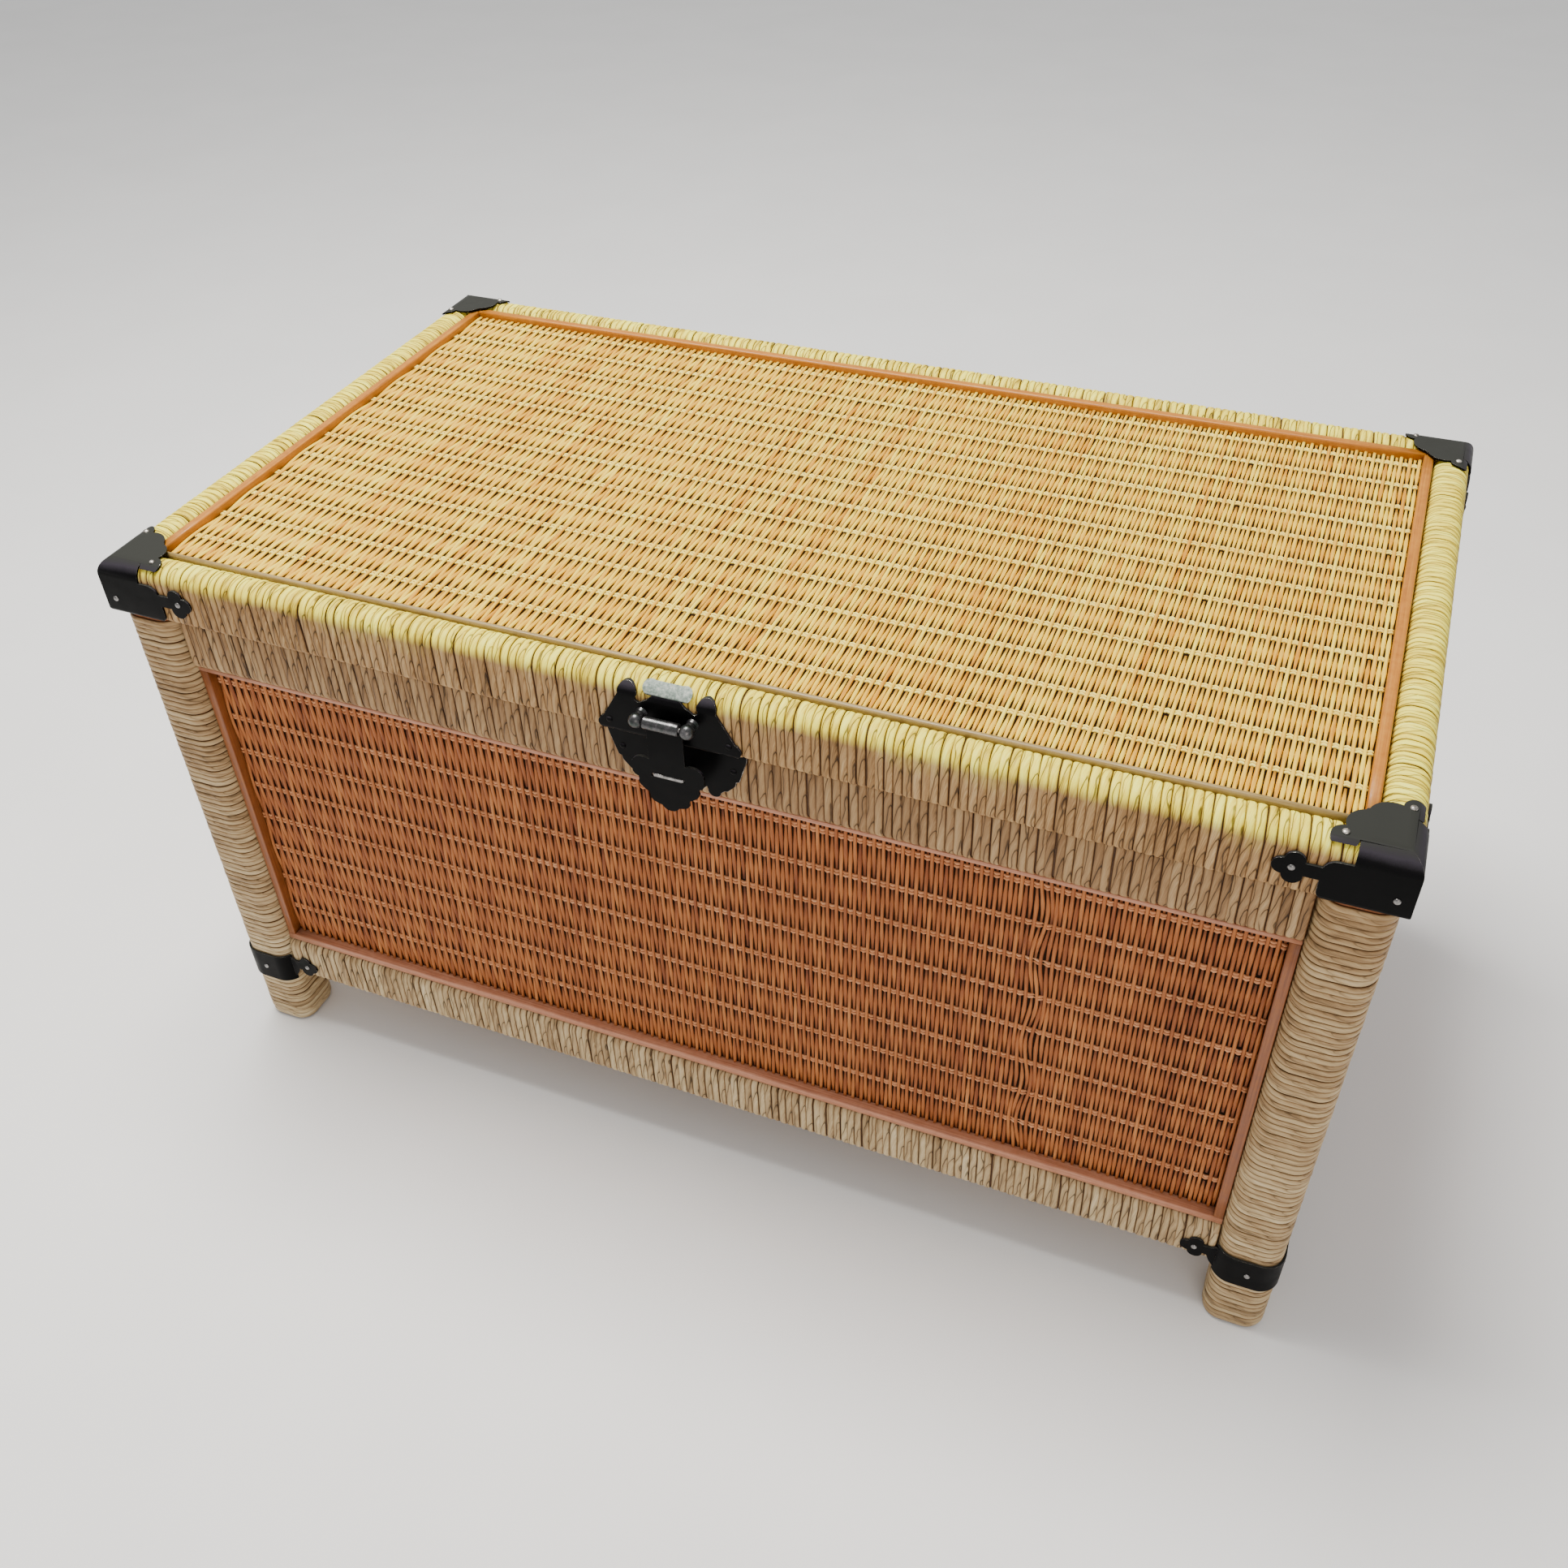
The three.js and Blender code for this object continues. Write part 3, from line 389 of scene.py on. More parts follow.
# the frame and post cords darken towards their tops: painted shade under the lid
frame_cord = cord_material("frame_cord", flax, 0.5, shade_under_lid=(0.11, 0.38, (0.72, 0.6, 0.51)))
post_cord = cord_material("post_cord", flax, 0.5, twist=0.7, shade_under_lid=(0.1, 0.42, (0.84, 0.76, 0.68)))
strip_wood = wood_material("strip_wood", redwood)
strip_amber = wood_material("strip_amber", amber)
strip_umber = wood_material("strip_umber", umber)
strip_tan = wood_material("strip_tan", pale)
core_wood = wood_material("core_wood", dark, 0.7)
bare_wood = wood_material("bare_wood", umber, 0.6)
board = board_material()
iron = iron_material("iron")
lock_iron = iron_material("lock_iron", painted_reflection=True)
worn_edge = metal_material("worn_edge", edge_tones, 0.36)
gunmetal = metal_material("gunmetal", gun_tones, 0.24)
steel = metal_material("steel", steel_tones, 0.26)
fitting = (iron, worn_edge, steel)


# ---- strands as closed tubes


def strands(path, side, lift, section, width, thick):
    """Points, side faces and end faces of closed tubes.

    path, side and lift are (strand, step, 3), and width and thick are (strand, step). section
    is (corner, 2), in half widths and half thicknesses.
    """
    count, steps, _ = path.shape
    corners = len(section)
    sideways = section[:, 0][:, None] * width[..., None, None] / 2 * side[:, :, None]
    upwards = section[:, 1][:, None] * thick[..., None, None] / 2 * lift[:, :, None]
    points = (path[:, :, None] + sideways + upwards).reshape(-1, 3)
    ring = np.arange(corners)
    ahead = np.roll(ring, -1)
    starts = np.arange(count * steps).reshape(count, steps)
    near = starts[:, :-1].reshape(-1, 1) * corners
    far = starts[:, 1:].reshape(-1, 1) * corners
    quads = np.stack([near + ring, near + ahead, far + ahead, far + ring], -1).reshape(-1, 4)
    caps = np.concatenate([
        starts[:, :1] * corners + ring[::-1],
        starts[:, -1:] * corners + ring,
    ])
    return points, quads, caps


def facing_out(points, quads, caps):
    """Turns every face round if the tubes' total volume comes out negative."""
    a, b, c, d = (points[quads[:, i]] for i in range(4))
    volume = (a * np.cross(b, c)).sum() + (a * np.cross(c, d)).sum()
    if volume < 0:
        return quads[:, ::-1], caps[:, ::-1]
    return quads, caps


def mesh_object(name, points, quads, caps, fibre, shade, material):
    """fibre and shade are what Shader.fibre and Shader.shade read, at each point."""
    quads, caps = facing_out(points, quads, caps)
    mesh = bpy.data.meshes.new(name)
    mesh.vertices.add(len(points))
    mesh.vertices.foreach_set("co", points.astype(np.float32).ravel())
    loops = np.concatenate([quads.ravel(), caps.ravel()]).astype(np.int32)
    sizes = np.concatenate([np.full(len(quads), 4), np.full(len(caps), caps.shape[1])])
    mesh.loops.add(len(loops))
    mesh.loops.foreach_set("vertex_index", loops)
    mesh.polygons.add(len(sizes))
    mesh.polygons.foreach_set("loop_start", (np.cumsum(sizes) - sizes).astype(np.int32))
    mesh.polygons.foreach_set("use_smooth", np.ones(len(sizes), bool))
    mesh.update(calc_edges=True)
    attribute = mesh.attributes.new("fibre", "FLOAT_VECTOR", "POINT")
    attribute.data.foreach_set("vector", fibre.astype(np.float32).ravel())
    attribute = mesh.attributes.new("shade", "FLOAT", "POINT")
    attribute.data.foreach_set("value", shade.astype(np.float32).ravel())
    return add_object(name, mesh, [material])


def strand_object(name, path, side, lift, section, width, thick, numbers, material, level=None):
    """One object of one or more strands, with the attributes that their material reads.

    side and lift are the ways across a strand, one for all or one for each step. width, thick
    and numbers are the same. level is (plane, way, reach): the shade rises from 0 at the plane
    to 1 at reach from it, and is 0 on the side edges. Without it, the shade is 0 on the side
    that faces down and 1 on top.
    """
    path = path.reshape(-1, *path.shape[-2:])
    count, steps, _ = path.shape
    side, lift = np.broadcast_to(side, path.shape), np.broadcast_to(lift, path.shape)
    width, thick, numbers = (np.broadcast_to(v, (count, steps)) for v in (width, thick, numbers))
    points, quads, caps = strands(path, side, lift, section, width, thick)
    if level:
        plane, way, reach = level
        inner = np.tile(abs(section[:, 0]) < 0.9, count * steps)
        shade = abs((points - plane) @ way) / reach * inner
    else:
        shade = np.tile(section[:, 1] / abs(section[:, 1]).max() / 2 + 0.5, count * steps)
    lengths = np.linalg.norm(np.diff(path, axis=1), axis=2)
    along = np.concatenate([np.zeros((count, 1)), np.cumsum(lengths, axis=1)], axis=1)
    corners = len(section)
    across = section[:, 0] * width[..., None] / 2 + section[:, 1] * thick[..., None]
    fibre = np.stack([
        np.repeat(along[..., None], corners, 2),
        across,
        np.repeat(numbers[..., None], corners, 2),
    ], -1).reshape(-1, 3)
    return mesh_object(name, points, quads, caps, fibre, shade, material)


def oval(corners, square):
    """A rounded section: square 1 is an ellipse, and lower is boxier."""
    turn = (np.arange(corners) + 0.5) / corners * 2 * math.pi
    cos, sin = np.cos(turn), np.sin(turn)
    return np.stack([np.sign(cos) * abs(cos) ** square, np.sign(sin) * abs(sin) ** square], 1)


def rounded_box(round_share, arcs=3):
    """A square section with rounded corners, in half widths."""
    points = []
    for quarter in range(4):
        cx = (1 - round_share) * (1 if quarter in (0, 3) else -1)
        cy = (1 - round_share) * (1 if quarter in (0, 1) else -1)
        for i in range(arcs + 1):
            turn = math.radians(90 * quarter + 90 * i / arcs)
            points.append((cx + round_share * math.cos(turn), cy + round_share * math.sin(turn)))
    return np.array(points)


SPLIT_CANE = np.array([(-1, 0), (-0.58, -0.9), (0.58, -0.9), (1, 0), (0.58, 0.9), (-0.58, 0.9)])
ROUND_REED = oval(6, 1.0)
FLAT_CORD = oval(12, 0.84)


# ---- woven panels

WEFT_PITCH = 3.15 * MM
WEFT_WIDTH = 3.5 * MM
WEFT_PINCH = 0.28  # how much narrower a weft is where it crosses the stakes
WEFT_THICK = 2.5 * MM
STAKE_ROUND = 2.2 * MM
STAKE_APART = 2.5 * MM  # between the two stakes of a pair
WAVE = 0.9 * MM  # how far the wefts swing out of the panel's middle plane
STAKE_WAVE = 0.75 * MM  # and the stakes, the other way
SHADE_SHEET_THICK = 0.3 * MM
LID_ROWS = (13, 0.885, 0.3)  # stake pairs, and the part rows before the first and after the last
BODY_ROWS = (8, 0.9, 0.34)
TOP_STRIP_TRIM = 3 * MM  # how much thinner a bay's top strip is, with weave in its place
LID_SLAT = 7 * MM  # the width of the slats round the lid's weave
FRONT_REED = 4.6 * MM  # the front one is a thin reed instead
WEFT_STEPS = 6  # in each row
MOST_SWAY = 0.25 * MM  # of a weft from its straight line
STATIONS = 9  # places along a stake where it bends


def woven_panel(node, body, axes, rows, cane, stake_cane, parts=1, grow=(0.0, 0.0),
                kink=None):
    """Plain weave in a panel node's box: wefts over and under paired stakes.

    axes are the way out, the way along the stakes and the way along the wefts.
    grow is how far the weave reaches beyond the box, at the start and the end of the wefts.
    kink is (place, breadth, reach, length): the wefts near that place wave from side to side.
    """
    out, across, along = axes
    low, high = box(node)
    low, high = low - grow[0] * along, high + grow[1] * along
    middle = (low + high) / 2
    size = high - low
    width, height = abs(size @ across), abs(size @ along)
    rows, before, after = rows
    row_pitch = height / (rows - 1 + before + after)
    wefts = round(width / WEFT_PITCH)
    pitch = width / wefts
    steps = (rows + 1) * WEFT_STEPS + 1
    v = np.linspace(-height / 2, height / 2, steps)
    wander = np.cumsum(rng.normal(0, 0.04 * MM, (wefts, rows + 1)), axis=1)
    wander -= wander.mean(axis=1, keepdims=True)
    knots = np.linspace(-height / 2, height / 2, rows + 1)
    sway = np.array([np.interp(v, knots, w) for w in np.clip(wander, -MOST_SWAY, MOST_SWAY)])
    u = (np.arange(wefts)[:, None] + 0.5) * pitch - width / 2 + sway
    if kink:
        place, breadth, reach, length = kink
        near = np.exp(-((u + middle @ across - place) / breadth) ** 2)
        u = u + near * reach * np.sin(2 * np.pi * v / length)
    sign = np.where(np.arange(wefts) % 2 == 0, 1.0, -1.0)[:, None]
    # the swing is at its full height where a weft crosses a pair of stakes
    swing = np.cos(np.pi * ((v + height / 2) / row_pitch - before))
    swing = np.sign(swing) * abs(swing) ** 0.85
    depth = sign * swing * WAVE + rng.normal(0, 0.06 * MM, (wefts, 1))
    path = middle + u[..., None] * across + v[None, :, None] * along + depth[..., None] * out
    grade = np.gradient(depth, v, axis=1)
    lift = out - grade[..., None] * along
    lift /= np.linalg.norm(lift, axis=2, keepdims=True)
    broad = WEFT_WIDTH * (1 - WEFT_PINCH * abs(swing) + rng.normal(0, 0.03, (wefts, 1)))
    level = (middle, out, WAVE + WEFT_THICK / 2)
    numbers = rng.uniform(0, 400, (wefts, 1))
    pieces = []
    for part in range(parts):
        chosen = slice(part * wefts // parts, (part + 1) * wefts // parts)
        label = f"{node}_wefts" if parts == 1 else f"{node}_wefts_{part + 1}"
        pieces.append(strand_object(label, path[chosen], across, lift[chosen], SPLIT_CANE,
                                    broad[chosen], WEFT_THICK, numbers[chosen], cane, level))
    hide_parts(node)

    across_at = np.concatenate([[-width / 2], u.mean(axis=1), [width / 2]])
    row_at = -height / 2 + (np.arange(rows) + before) * row_pitch
    stake_at = np.concatenate([row_at - STAKE_APART / 2, row_at + STAKE_APART / 2])
    bend = rng.normal(0, 0.12 * MM, (len(stake_at), STATIONS))
    stations = np.linspace(-width / 2, width / 2, STATIONS)
    bow = np.array([np.interp(across_at, stations, b) for b in bend])
    row_sign = np.tile(np.where(np.arange(rows) % 2 == 0, 1.0, -1.0), 2)[:, None]
    dip = np.concatenate([[0], sign[:, 0], [0]]) * -STAKE_WAVE * row_sign
    path = (middle + across_at[None, :, None] * across + dip[..., None] * out
            + (stake_at[:, None] + bow)[..., None] * along)
    numbers = rng.uniform(0, 400, (len(stake_at), 1))
    pieces.append(strand_object(f"{node}_stakes", path, along, out, ROUND_REED, STAKE_ROUND,
                                STAKE_ROUND, numbers, stake_cane, level))
    # a dark sheet of painted shade in the weave's middle plane, which closes its gaps
    ends = np.array([-width / 2, width / 2])[:, None] * across + middle
    pieces.append(strand_object(f"{node}_hollow", ends, along, out, rounded_box(0.0005, 1),
                                height, SHADE_SHEET_THICK, 0.0, hollow_shade))
    join_body(pieces, body)


# ---- cord-wound bars

CORD_THICK = 3.0 * MM
CORE_INSET = 1.7 * MM  # of the wooden core's surface, under the cord
CORE_SHORT = 0.4 * MM  # how far a rail's core ends inside its node
RAIL_PITCH = 5.5 * MM
LID_PITCH = 5.6 * MM
POST_CORD_PITCH = 4.9 * MM
POST_RADIUS = 14 * MM
FOOT_ROUND = 7 * MM
BARE_TOP = 2.6 * MM


def corner_centres(u0, u1, v0, v1, radii):
    """The middle and the radius of each rounded corner, anticlockwise from the low-left one."""
    a, b, c, d = radii
    return [(u0 + a, v0 + a, a), (u1 - b, v0 + b, b), (u1 - c, v1 - c, c), (u0 + d, v1 - d, d)]


def bar_section(u0, u1, v0, v1, radii, inset):
    """Points and outward normals round a bar, anticlockwise from its low-left corner."""
    points, normals = [], []
    for quarter, (u, v, radius) in enumerate(corner_centres(u0, u1, v0, v1, radii)):
        arcs = max(3, round(radius / (1.8 * MM)))
        reach = max(radius - inset, 0.3 * MM)
        shrink = inset - (radius - reach)
        for i in range(arcs + 1):
            turn = math.radians(180 + 90 * quarter + 90 * i / arcs)
            direction = np.array((math.cos(turn), math.sin(turn)))
            corner = np.copysign(shrink, direction)
            points.append(np.array((u, v)) + direction * reach - corner * (shrink > 0))
            normals.append(direction)
    return np.array(points), np.array(normals)


def helix(section, normals, start, end, pitch, uneven):
    """A cord wound round a section.

    Returns, at each step, the place on the section, its normal, the place along the bar, how far
    the cord stands out, its width and the turn's number. The first and the last turn lie flat,
    so that the winding ends square. uneven is the wobble's share of the pitch.
    """
    turns = max(2, round((end - start) / pitch))
    pitch = (end - start) / turns
    count = len(section)
    total = (turns + 1) * count
    index = np.arange(total) % count
    turn = np.arange(total) / count
    share = np.clip((turn - 1) / (turn[-1] - 2), 0, 1)
    at = start + pitch / 2 + (end - start - pitch) * share
    knots = np.arange(turns * 2 + 3) / 2
    wobble = rng.normal(0, uneven * pitch, len(knots))
    wobble[[0, 1, 2, -3, -2, -1]] = 0
    at = at + np.interp(turn, knots, wobble)
    swell = np.interp(turn, knots, rng.normal(0, 0.1 * MM, len(knots)))
    broad = pitch * (1.05 + np.interp(turn, knots, rng.normal(0, 0.03, len(knots))))
    return section[index], normals[index], at, swell, broad, turn


def wound(node, body, axes, radii, ends, winding, core_at, core_scale, materials):
    """Replaces a bar node by its wooden core and the cord wound round it.

    axes are the two ways across the bar and the way along it. ends is where the winding starts
    and stops, and winding is (pitch, uneven, foot), where foot rounds off the bar's low end. The
    core has the size core_scale at the places core_at.
    """
    u_axis, v_axis, axis = axes
    low, high = box(node)
    sides = (low @ u_axis, high @ u_axis, low @ v_axis, high @ v_axis)
    section, normals = bar_section(*sides, radii, CORD_THICK / 2)
    pitch, uneven, foot = winding
    place, normal, at, swell, broad, turn = helix(section, normals, *ends, pitch, uneven)
    short = np.clip(foot - (at - low @ axis), 0, foot)
    tuck = foot - np.sqrt(foot**2 - short**2)
    place = place + normal * (np.minimum(swell, 0.1 * MM) - tuck)[:, None]
    path = place[:, :1] * u_axis + place[:, 1:] * v_axis + at[:, None] * axis
    lift = normal[:, :1] * u_axis + normal[:, 1:] * v_axis
    numbers = turn * 1.7 + rng.uniform(0, 90)
    cord, core = materials
    outside = strand_object(f"{node}_cord", path, axis, lift, FLAT_CORD, broad, CORD_THICK,
                            numbers, cord)
    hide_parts(node)
    section, _ = bar_section(*sides, radii, CORE_INSET)
    middle = section.mean(axis=0)
    path = middle[0] * u_axis + middle[1] * v_axis + np.array(core_at)[:, None] * axis
    size = 2 * np.array(core_scale)
    inside = strand_object(f"{node}_core", path, u_axis, v_axis, section - middle, size, size,
                           5.0, core)
    join_body((outside, inside), body)


def wound_bar(node, body, axes, radii, pitch, cord, trim=0.0):
    """A rail. trim is how far from each end its winding stops, where the core tapers."""
    low, high = (corner @ axes[2] for corner in box(node))
    near, far = low + CORE_SHORT, high - CORE_SHORT
    taper = trim * 0.6 + 0.1 * MM
    core_at = [near, near + taper / 3, near + taper, far - taper, far - taper / 3, far]
    core_scale = [0.45, 0.8, 1, 1, 0.8, 0.45] if trim else [1] * 6
    wound(node, body, axes, radii, (low + trim, high - trim), (pitch, 0.05, 0.0),
          core_at, core_scale, (cord, core_wood))


def wound_post(node):
    """A post: cord wound from the rounded foot to just below the bare wooden top."""
    low, high = (corner[2] for corner in box(node))
    wound(node, "body", (X, Y, Z), [POST_RADIUS] * 4,
          (low + 0.8 * MM, high - BARE_TOP), (POST_CORD_PITCH, 0.06, FOOT_ROUND),
          [low, low + 3 * MM, low + FOOT_ROUND, high - 1 * MM, high], [0.66, 0.84, 1, 1, 0.97],
          (post_cord, bare_wood))


# ---- wooden strips

STRIP_STEPS = 12
STRIP_GAP = 0.3 * MM  # between a bay's weave and the slats beside it
SLAT_GAP = 0.2 * MM  # between an upright slat and the ones above and below
REED_DROP = 1.5 * MM  # how far the front reed lies below its node's top


def strip(name, start, end, side, lift, width, height, section, material, body, node=None):
    """A slat from start to end, with square ends and rounded edges. It may replace a node."""
    share = np.linspace(0, 1, STRIP_STEPS)[:, None]
    path = start * (1 - share) + end * share
    piece = strand_object(name, path, side, lift, section, width, height, rng.uniform(0, 400),
                          material)
    join_body([piece], body)
    if node:
        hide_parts(node)


def bay_trim(face, u_axis, out):
    """The four slats round a woven panel, in the place of one trim node."""
    node = f"{face}_trim"
    low, high = box(node)
    inner_low, inner_high = box(f"{face}_panel")
    middle = (low + high) / 2
    half_u = abs((high - low) @ u_axis) / 2
    deep = abs((high - low) @ out)
    wide = half_u - abs((inner_high - inner_low) @ u_axis) / 2 - STRIP_GAP
    top_tall = wide - TOP_STRIP_TRIM
    for side, z, tall in (("bottom", low[2] + wide / 2, wide),
                          ("top", high[2] - top_tall / 2, top_tall)):
        centre = middle * (1 - Z) + z * Z
        strip(f"{face}_strip_{side}", centre - u_axis * half_u, centre + u_axis * half_u, out, Z,
              deep, tall, rounded_box(0.24), strip_wood, "body",
              node if side == "bottom" else None)
    for side, sign in (("left", -1), ("right", 1)):
        centre = middle + u_axis * sign * (half_u - wide / 2)
        foot = centre * (1 - Z) + (low[2] + wide + SLAT_GAP) * Z
        top = centre * (1 - Z) + (high[2] - top_tall - SLAT_GAP) * Z
        strip(f"{face}_strip_{side}", foot, top, u_axis, out, wide, deep, rounded_box(0.16),
              strip_umber, "body")


def lid_strips():
    """The slats round the lid's weave. The front one is a thin round reed against the rail."""
    for side in ("front", "back", "left", "right"):
        node = f"lid_strip_{side}"
        low, high = box(node)
        shape, material = rounded_box(0.4, 4), strip_amber
        if side == "front":
            shape, material = rounded_box(0.85, 6), strip_tan
            high[1] = low[1] + FRONT_REED
            high[2] -= REED_DROP
        middle = (low + high) / 2
        along, across = (X, Y) if side in ("front", "back") else (Y, X)
        half = (high - low) @ along / 2
        strip(f"{node}_slat", middle - along * half, middle + along * half, across, Z,
              (high - low) @ across, high[2] - low[2], shape, material, "lid", node)


# ---- solids for the ironwork

FIT = 0.3 * MM  # between an iron and what it lies on
IRON = 1.4 * MM  # the sheet's thickness
LID_X = 428.3 * MM
LID_Y = 240.8 * MM
LID_BOTTOM = 422 * MM
LID_TOP = 462.3 * MM
LID_ROUND = 11 * MM
LID_EDGE = 3 * MM
POST_X = 427 * MM
POST_Y = 238.5 * MM
POST_SIDE = 44 * MM
RAIL_X = 420.5 * MM
RAIL_Y = 232 * MM
CENTRE_Y = 2.25 * MM  # the frame's middle, from the middle of the posts
ARC_STEP = 0.7 * MM
EDGE_BEVEL = 0.42 * MM
SHARP = math.radians(22)
FAR = 0.6  # beyond the whole trunk

PLANES = {"x": (Y, Z, X), "y": (X, Z, Y), "z": (X, Y, Z)}


def arc(u, v, radius, start, end):
    """Points on an arc, in degrees, with steps of about ARC_STEP."""
    count = max(4, int(abs(math.radians(end - start)) * radius / ARC_STEP))
    turns = np.radians(np.linspace(start, end, count + 1))
    return [(u + radius * math.cos(turn), v + radius * math.sin(turn)) for turn in turns]


def disc(u, v, radius):
    return arc(u, v, radius, 0, 360)[:-1]


def rectangle(u0, u1, v0, v1, radii=(0, 0, 0, 0)):
    """Corner radii go round from the low-left corner. A radius of 0 is a square corner."""
    points = []
    for quarter, (u, v, radius) in enumerate(corner_centres(u0, u1, v0, v1, radii)):
        start = 180 + 90 * quarter
        points += arc(u, v, radius, start, start + 90) if radius else [(u, v)]
    return points


def both_sides(right):
    """Closes a right-hand outline, which starts and ends on the middle line, with its mirror."""
    return right + [(-u, v) for u, v in right[::-1] if u]


def paired(*discs):
    """Discs on both sides of the middle line, from (u, v, radius) in millimetres."""
    return [disc(side * u * MM, v * MM, radius * MM) for side in (-1, 1) for u, v, radius in discs]


def solid(points, faces):
    """A mesh whose faces are turned round where its volume comes out negative."""
    volume = 0.0
    for first, *others in faces:
        for second, third in zip(others, others[1:]):
            volume += points[first] @ np.cross(points[second], points[third])
    if volume < 0:
        faces = [face[::-1] for face in faces]
    mesh = bpy.data.meshes.new("solid")
    mesh.from_pydata(points.tolist(), [], faces)
    return mesh


def prism(outline, axis, start, end):
    """An outline in the plane across an axis, drawn out from start to end along it."""
    u_axis, v_axis, w_axis = PLANES[axis]
    flat = np.array(outline)
    ring = flat[:, :1] * u_axis + flat[:, 1:] * v_axis
    points = np.concatenate([ring + start * w_axis, ring + end * w_axis])
    count = len(ring)
    faces = [list(range(count))[::-1], list(range(count, count * 2))]
    faces += [[i, (i + 1) % count, (i + 1) % count + count, i + count] for i in range(count)]
    return solid(points, faces)


def combined(first, second, operation):
    """The union, difference or intersection of two closed meshes."""
    objects = [bpy.data.objects.new("operand", mesh) for mesh in (first, second)]
    for operand in objects:
        bpy.context.scene.collection.objects.link(operand)
    modifier = objects[0].modifiers.new("boolean", "BOOLEAN")
    modifier.object = objects[1]
    modifier.operation = operation
    modifier.solver = "MANIFOLD"
    graph = bpy.context.evaluated_depsgraph_get()
    result = bpy.data.meshes.new_from_object(objects[0].evaluated_get(graph))
    for operand in objects:
        bpy.data.objects.remove(operand)
    return result


def union(meshes):
    whole = meshes[0]
    for mesh in meshes[1:]:
        whole = combined(whole, mesh, "UNION")
    return whole


def drawn_out(outlines, axis, start, end):
    return union([prism(outline, axis, start, end) for outline in outlines])


def cut(mesh, *tools):
    for tool in tools:
        mesh = combined(mesh, tool, "DIFFERENCE")
    return mesh


def lathe(profile, middle, axis, steps=32):
    """Points and faces of a closed turned body. profile is (distance along the axis, radius)."""
    one = np.cross(axis, X if abs(axis @ X) < 0.5 else Y)
    two = np.cross(axis, one)
    turns = np.arange(steps) / steps * 2 * math.pi
    ring = np.cos(turns)[:, None] * one + np.sin(turns)[:, None] * two
    points = [np.array(middle) + along * axis + radius * ring for along, radius in profile]
    faces = [list(range(steps))[::-1]]
    for row in range(len(profile) - 1):
        at = row * steps
        for i in range(steps):
            after = (i + 1) % steps
            faces.append([at + i, at + after, at + after + steps, at + i + steps])
    last = (len(profile) - 1) * steps
    faces.append(list(range(last, last + steps)))
    return solid(np.concatenate(points), faces)


def rod(radius, x0, x1, y, z, edge=0.4 * MM):
    """A rod along X with softened ends."""
    profile = [(x0, radius - edge), (x0 + edge, radius), (x1 - edge, radius), (x1, radius - edge)]
    return lathe(profile, (0, y, z), X)


def ball(radius, x, y, z):
    turns = np.radians(np.linspace(3, 177, 19))
    return lathe([(-radius * math.cos(t), radius * math.sin(t)) for t in turns], (x, y, z), X)


NAIL_RADIUS = 2.1 * MM
NAIL_RISE = 1.2 * MM


def nail(x, y, z, direction):
    """A domed nail head, which stands on the sheet at x, y, z."""
    turns = np.radians(np.linspace(0, 84, 7))
    dome = [(NAIL_RISE * math.sin(t), NAIL_RADIUS * math.cos(t)) for t in turns]
    return lathe([(-IRON / 2, NAIL_RADIUS * 0.9), *dome], (x, y, z), direction, 24)


def ironwork(node, body, sheet, extras=(), materials=fitting, mirror=(1, 1)):
    """One piece: a sheet with bevelled edges, and solids joined to it as (mesh, material slot).

    The slots are the sheet, its worn edges, and the nails or turned parts. A mirror of -1 turns
    the piece over along X or Y. Y is from the posts' middle, so the piece moves by CENTRE_Y.
    """
    metal = "steel" if "pin" in node or "staple" in node else "iron"
    name = f"{node}_{metal}"
    work = bmesh.new()
    work.from_mesh(sheet)
    bmesh.ops.remove_doubles(work, verts=work.verts, dist=0.03 * MM)
    bmesh.ops.dissolve_degenerate(work, dist=0.02 * MM, edges=work.edges)
    for face in work.faces:
        face.material_index = 0
    corner = SHARP * 1.6  # an edge sharper than this is bevelled
    edges = [e for e in work.edges if len(e.link_faces) == 2 and e.calc_face_angle(0) > corner]
    bmesh.ops.bevel(work, geom=edges, offset=EDGE_BEVEL, segments=2, profile=0.5, material=1,
                    affect="EDGES", clamp_overlap=True)
    for mesh, slot in extras:
        mesh.polygons.foreach_set("material_index", [slot] * len(mesh.polygons))
        work.from_mesh(mesh)
    if mirror != (1, 1):
        for vertex in work.verts:
            vertex.co.x *= mirror[0]
            vertex.co.y *= mirror[1]
        if mirror[0] * mirror[1] < 0:
            bmesh.ops.reverse_faces(work, faces=work.faces)
    for vertex in work.verts:
        vertex.co.y += CENTRE_Y
    for face in work.faces:
        face.smooth = True
    mesh = bpy.data.meshes.new(name)
    work.to_mesh(mesh)
    work.free()
    mesh.set_sharp_from_angle(angle=SHARP)
    piece = add_object(name, mesh, (steel, steel) if metal == "steel" else materials)
    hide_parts(node)
    join_body([piece], body)


# ---- brackets and straps

LEAF_WAIST = 9 * MM  # the width of the neck before a trefoil
BRACKET_LEG = 49 * MM  # along each upright face, to where the neck begins
BRACKET_LEAF = 63 * MM  # to the trefoil's middle
BRACKET_LEAF_Z = LID_BOTTOM + 18.5 * MM
BRACKET_FOOT = LID_BOTTOM + 1 * MM
BRACKET_HEAD = LID_BOTTOM + 29 * MM
STRAP_FOOT = 52.5 * MM
STRAP_HEAD = 81 * MM
STRAP_LEAF = 57 * MM
STRAP_LEAF_Z = 71.5 * MM


def at_corners(kind, body, sheet, nails):
    """The front left fitting, mirrored to all four corners."""
    for end, turn_y in (("front", 1), ("back", -1)):
        for side, turn_x in (("left", 1), ("right", -1)):
            ironwork(f"{kind}_{end}_{side}", body, sheet, nails, mirror=(turn_x, turn_y))


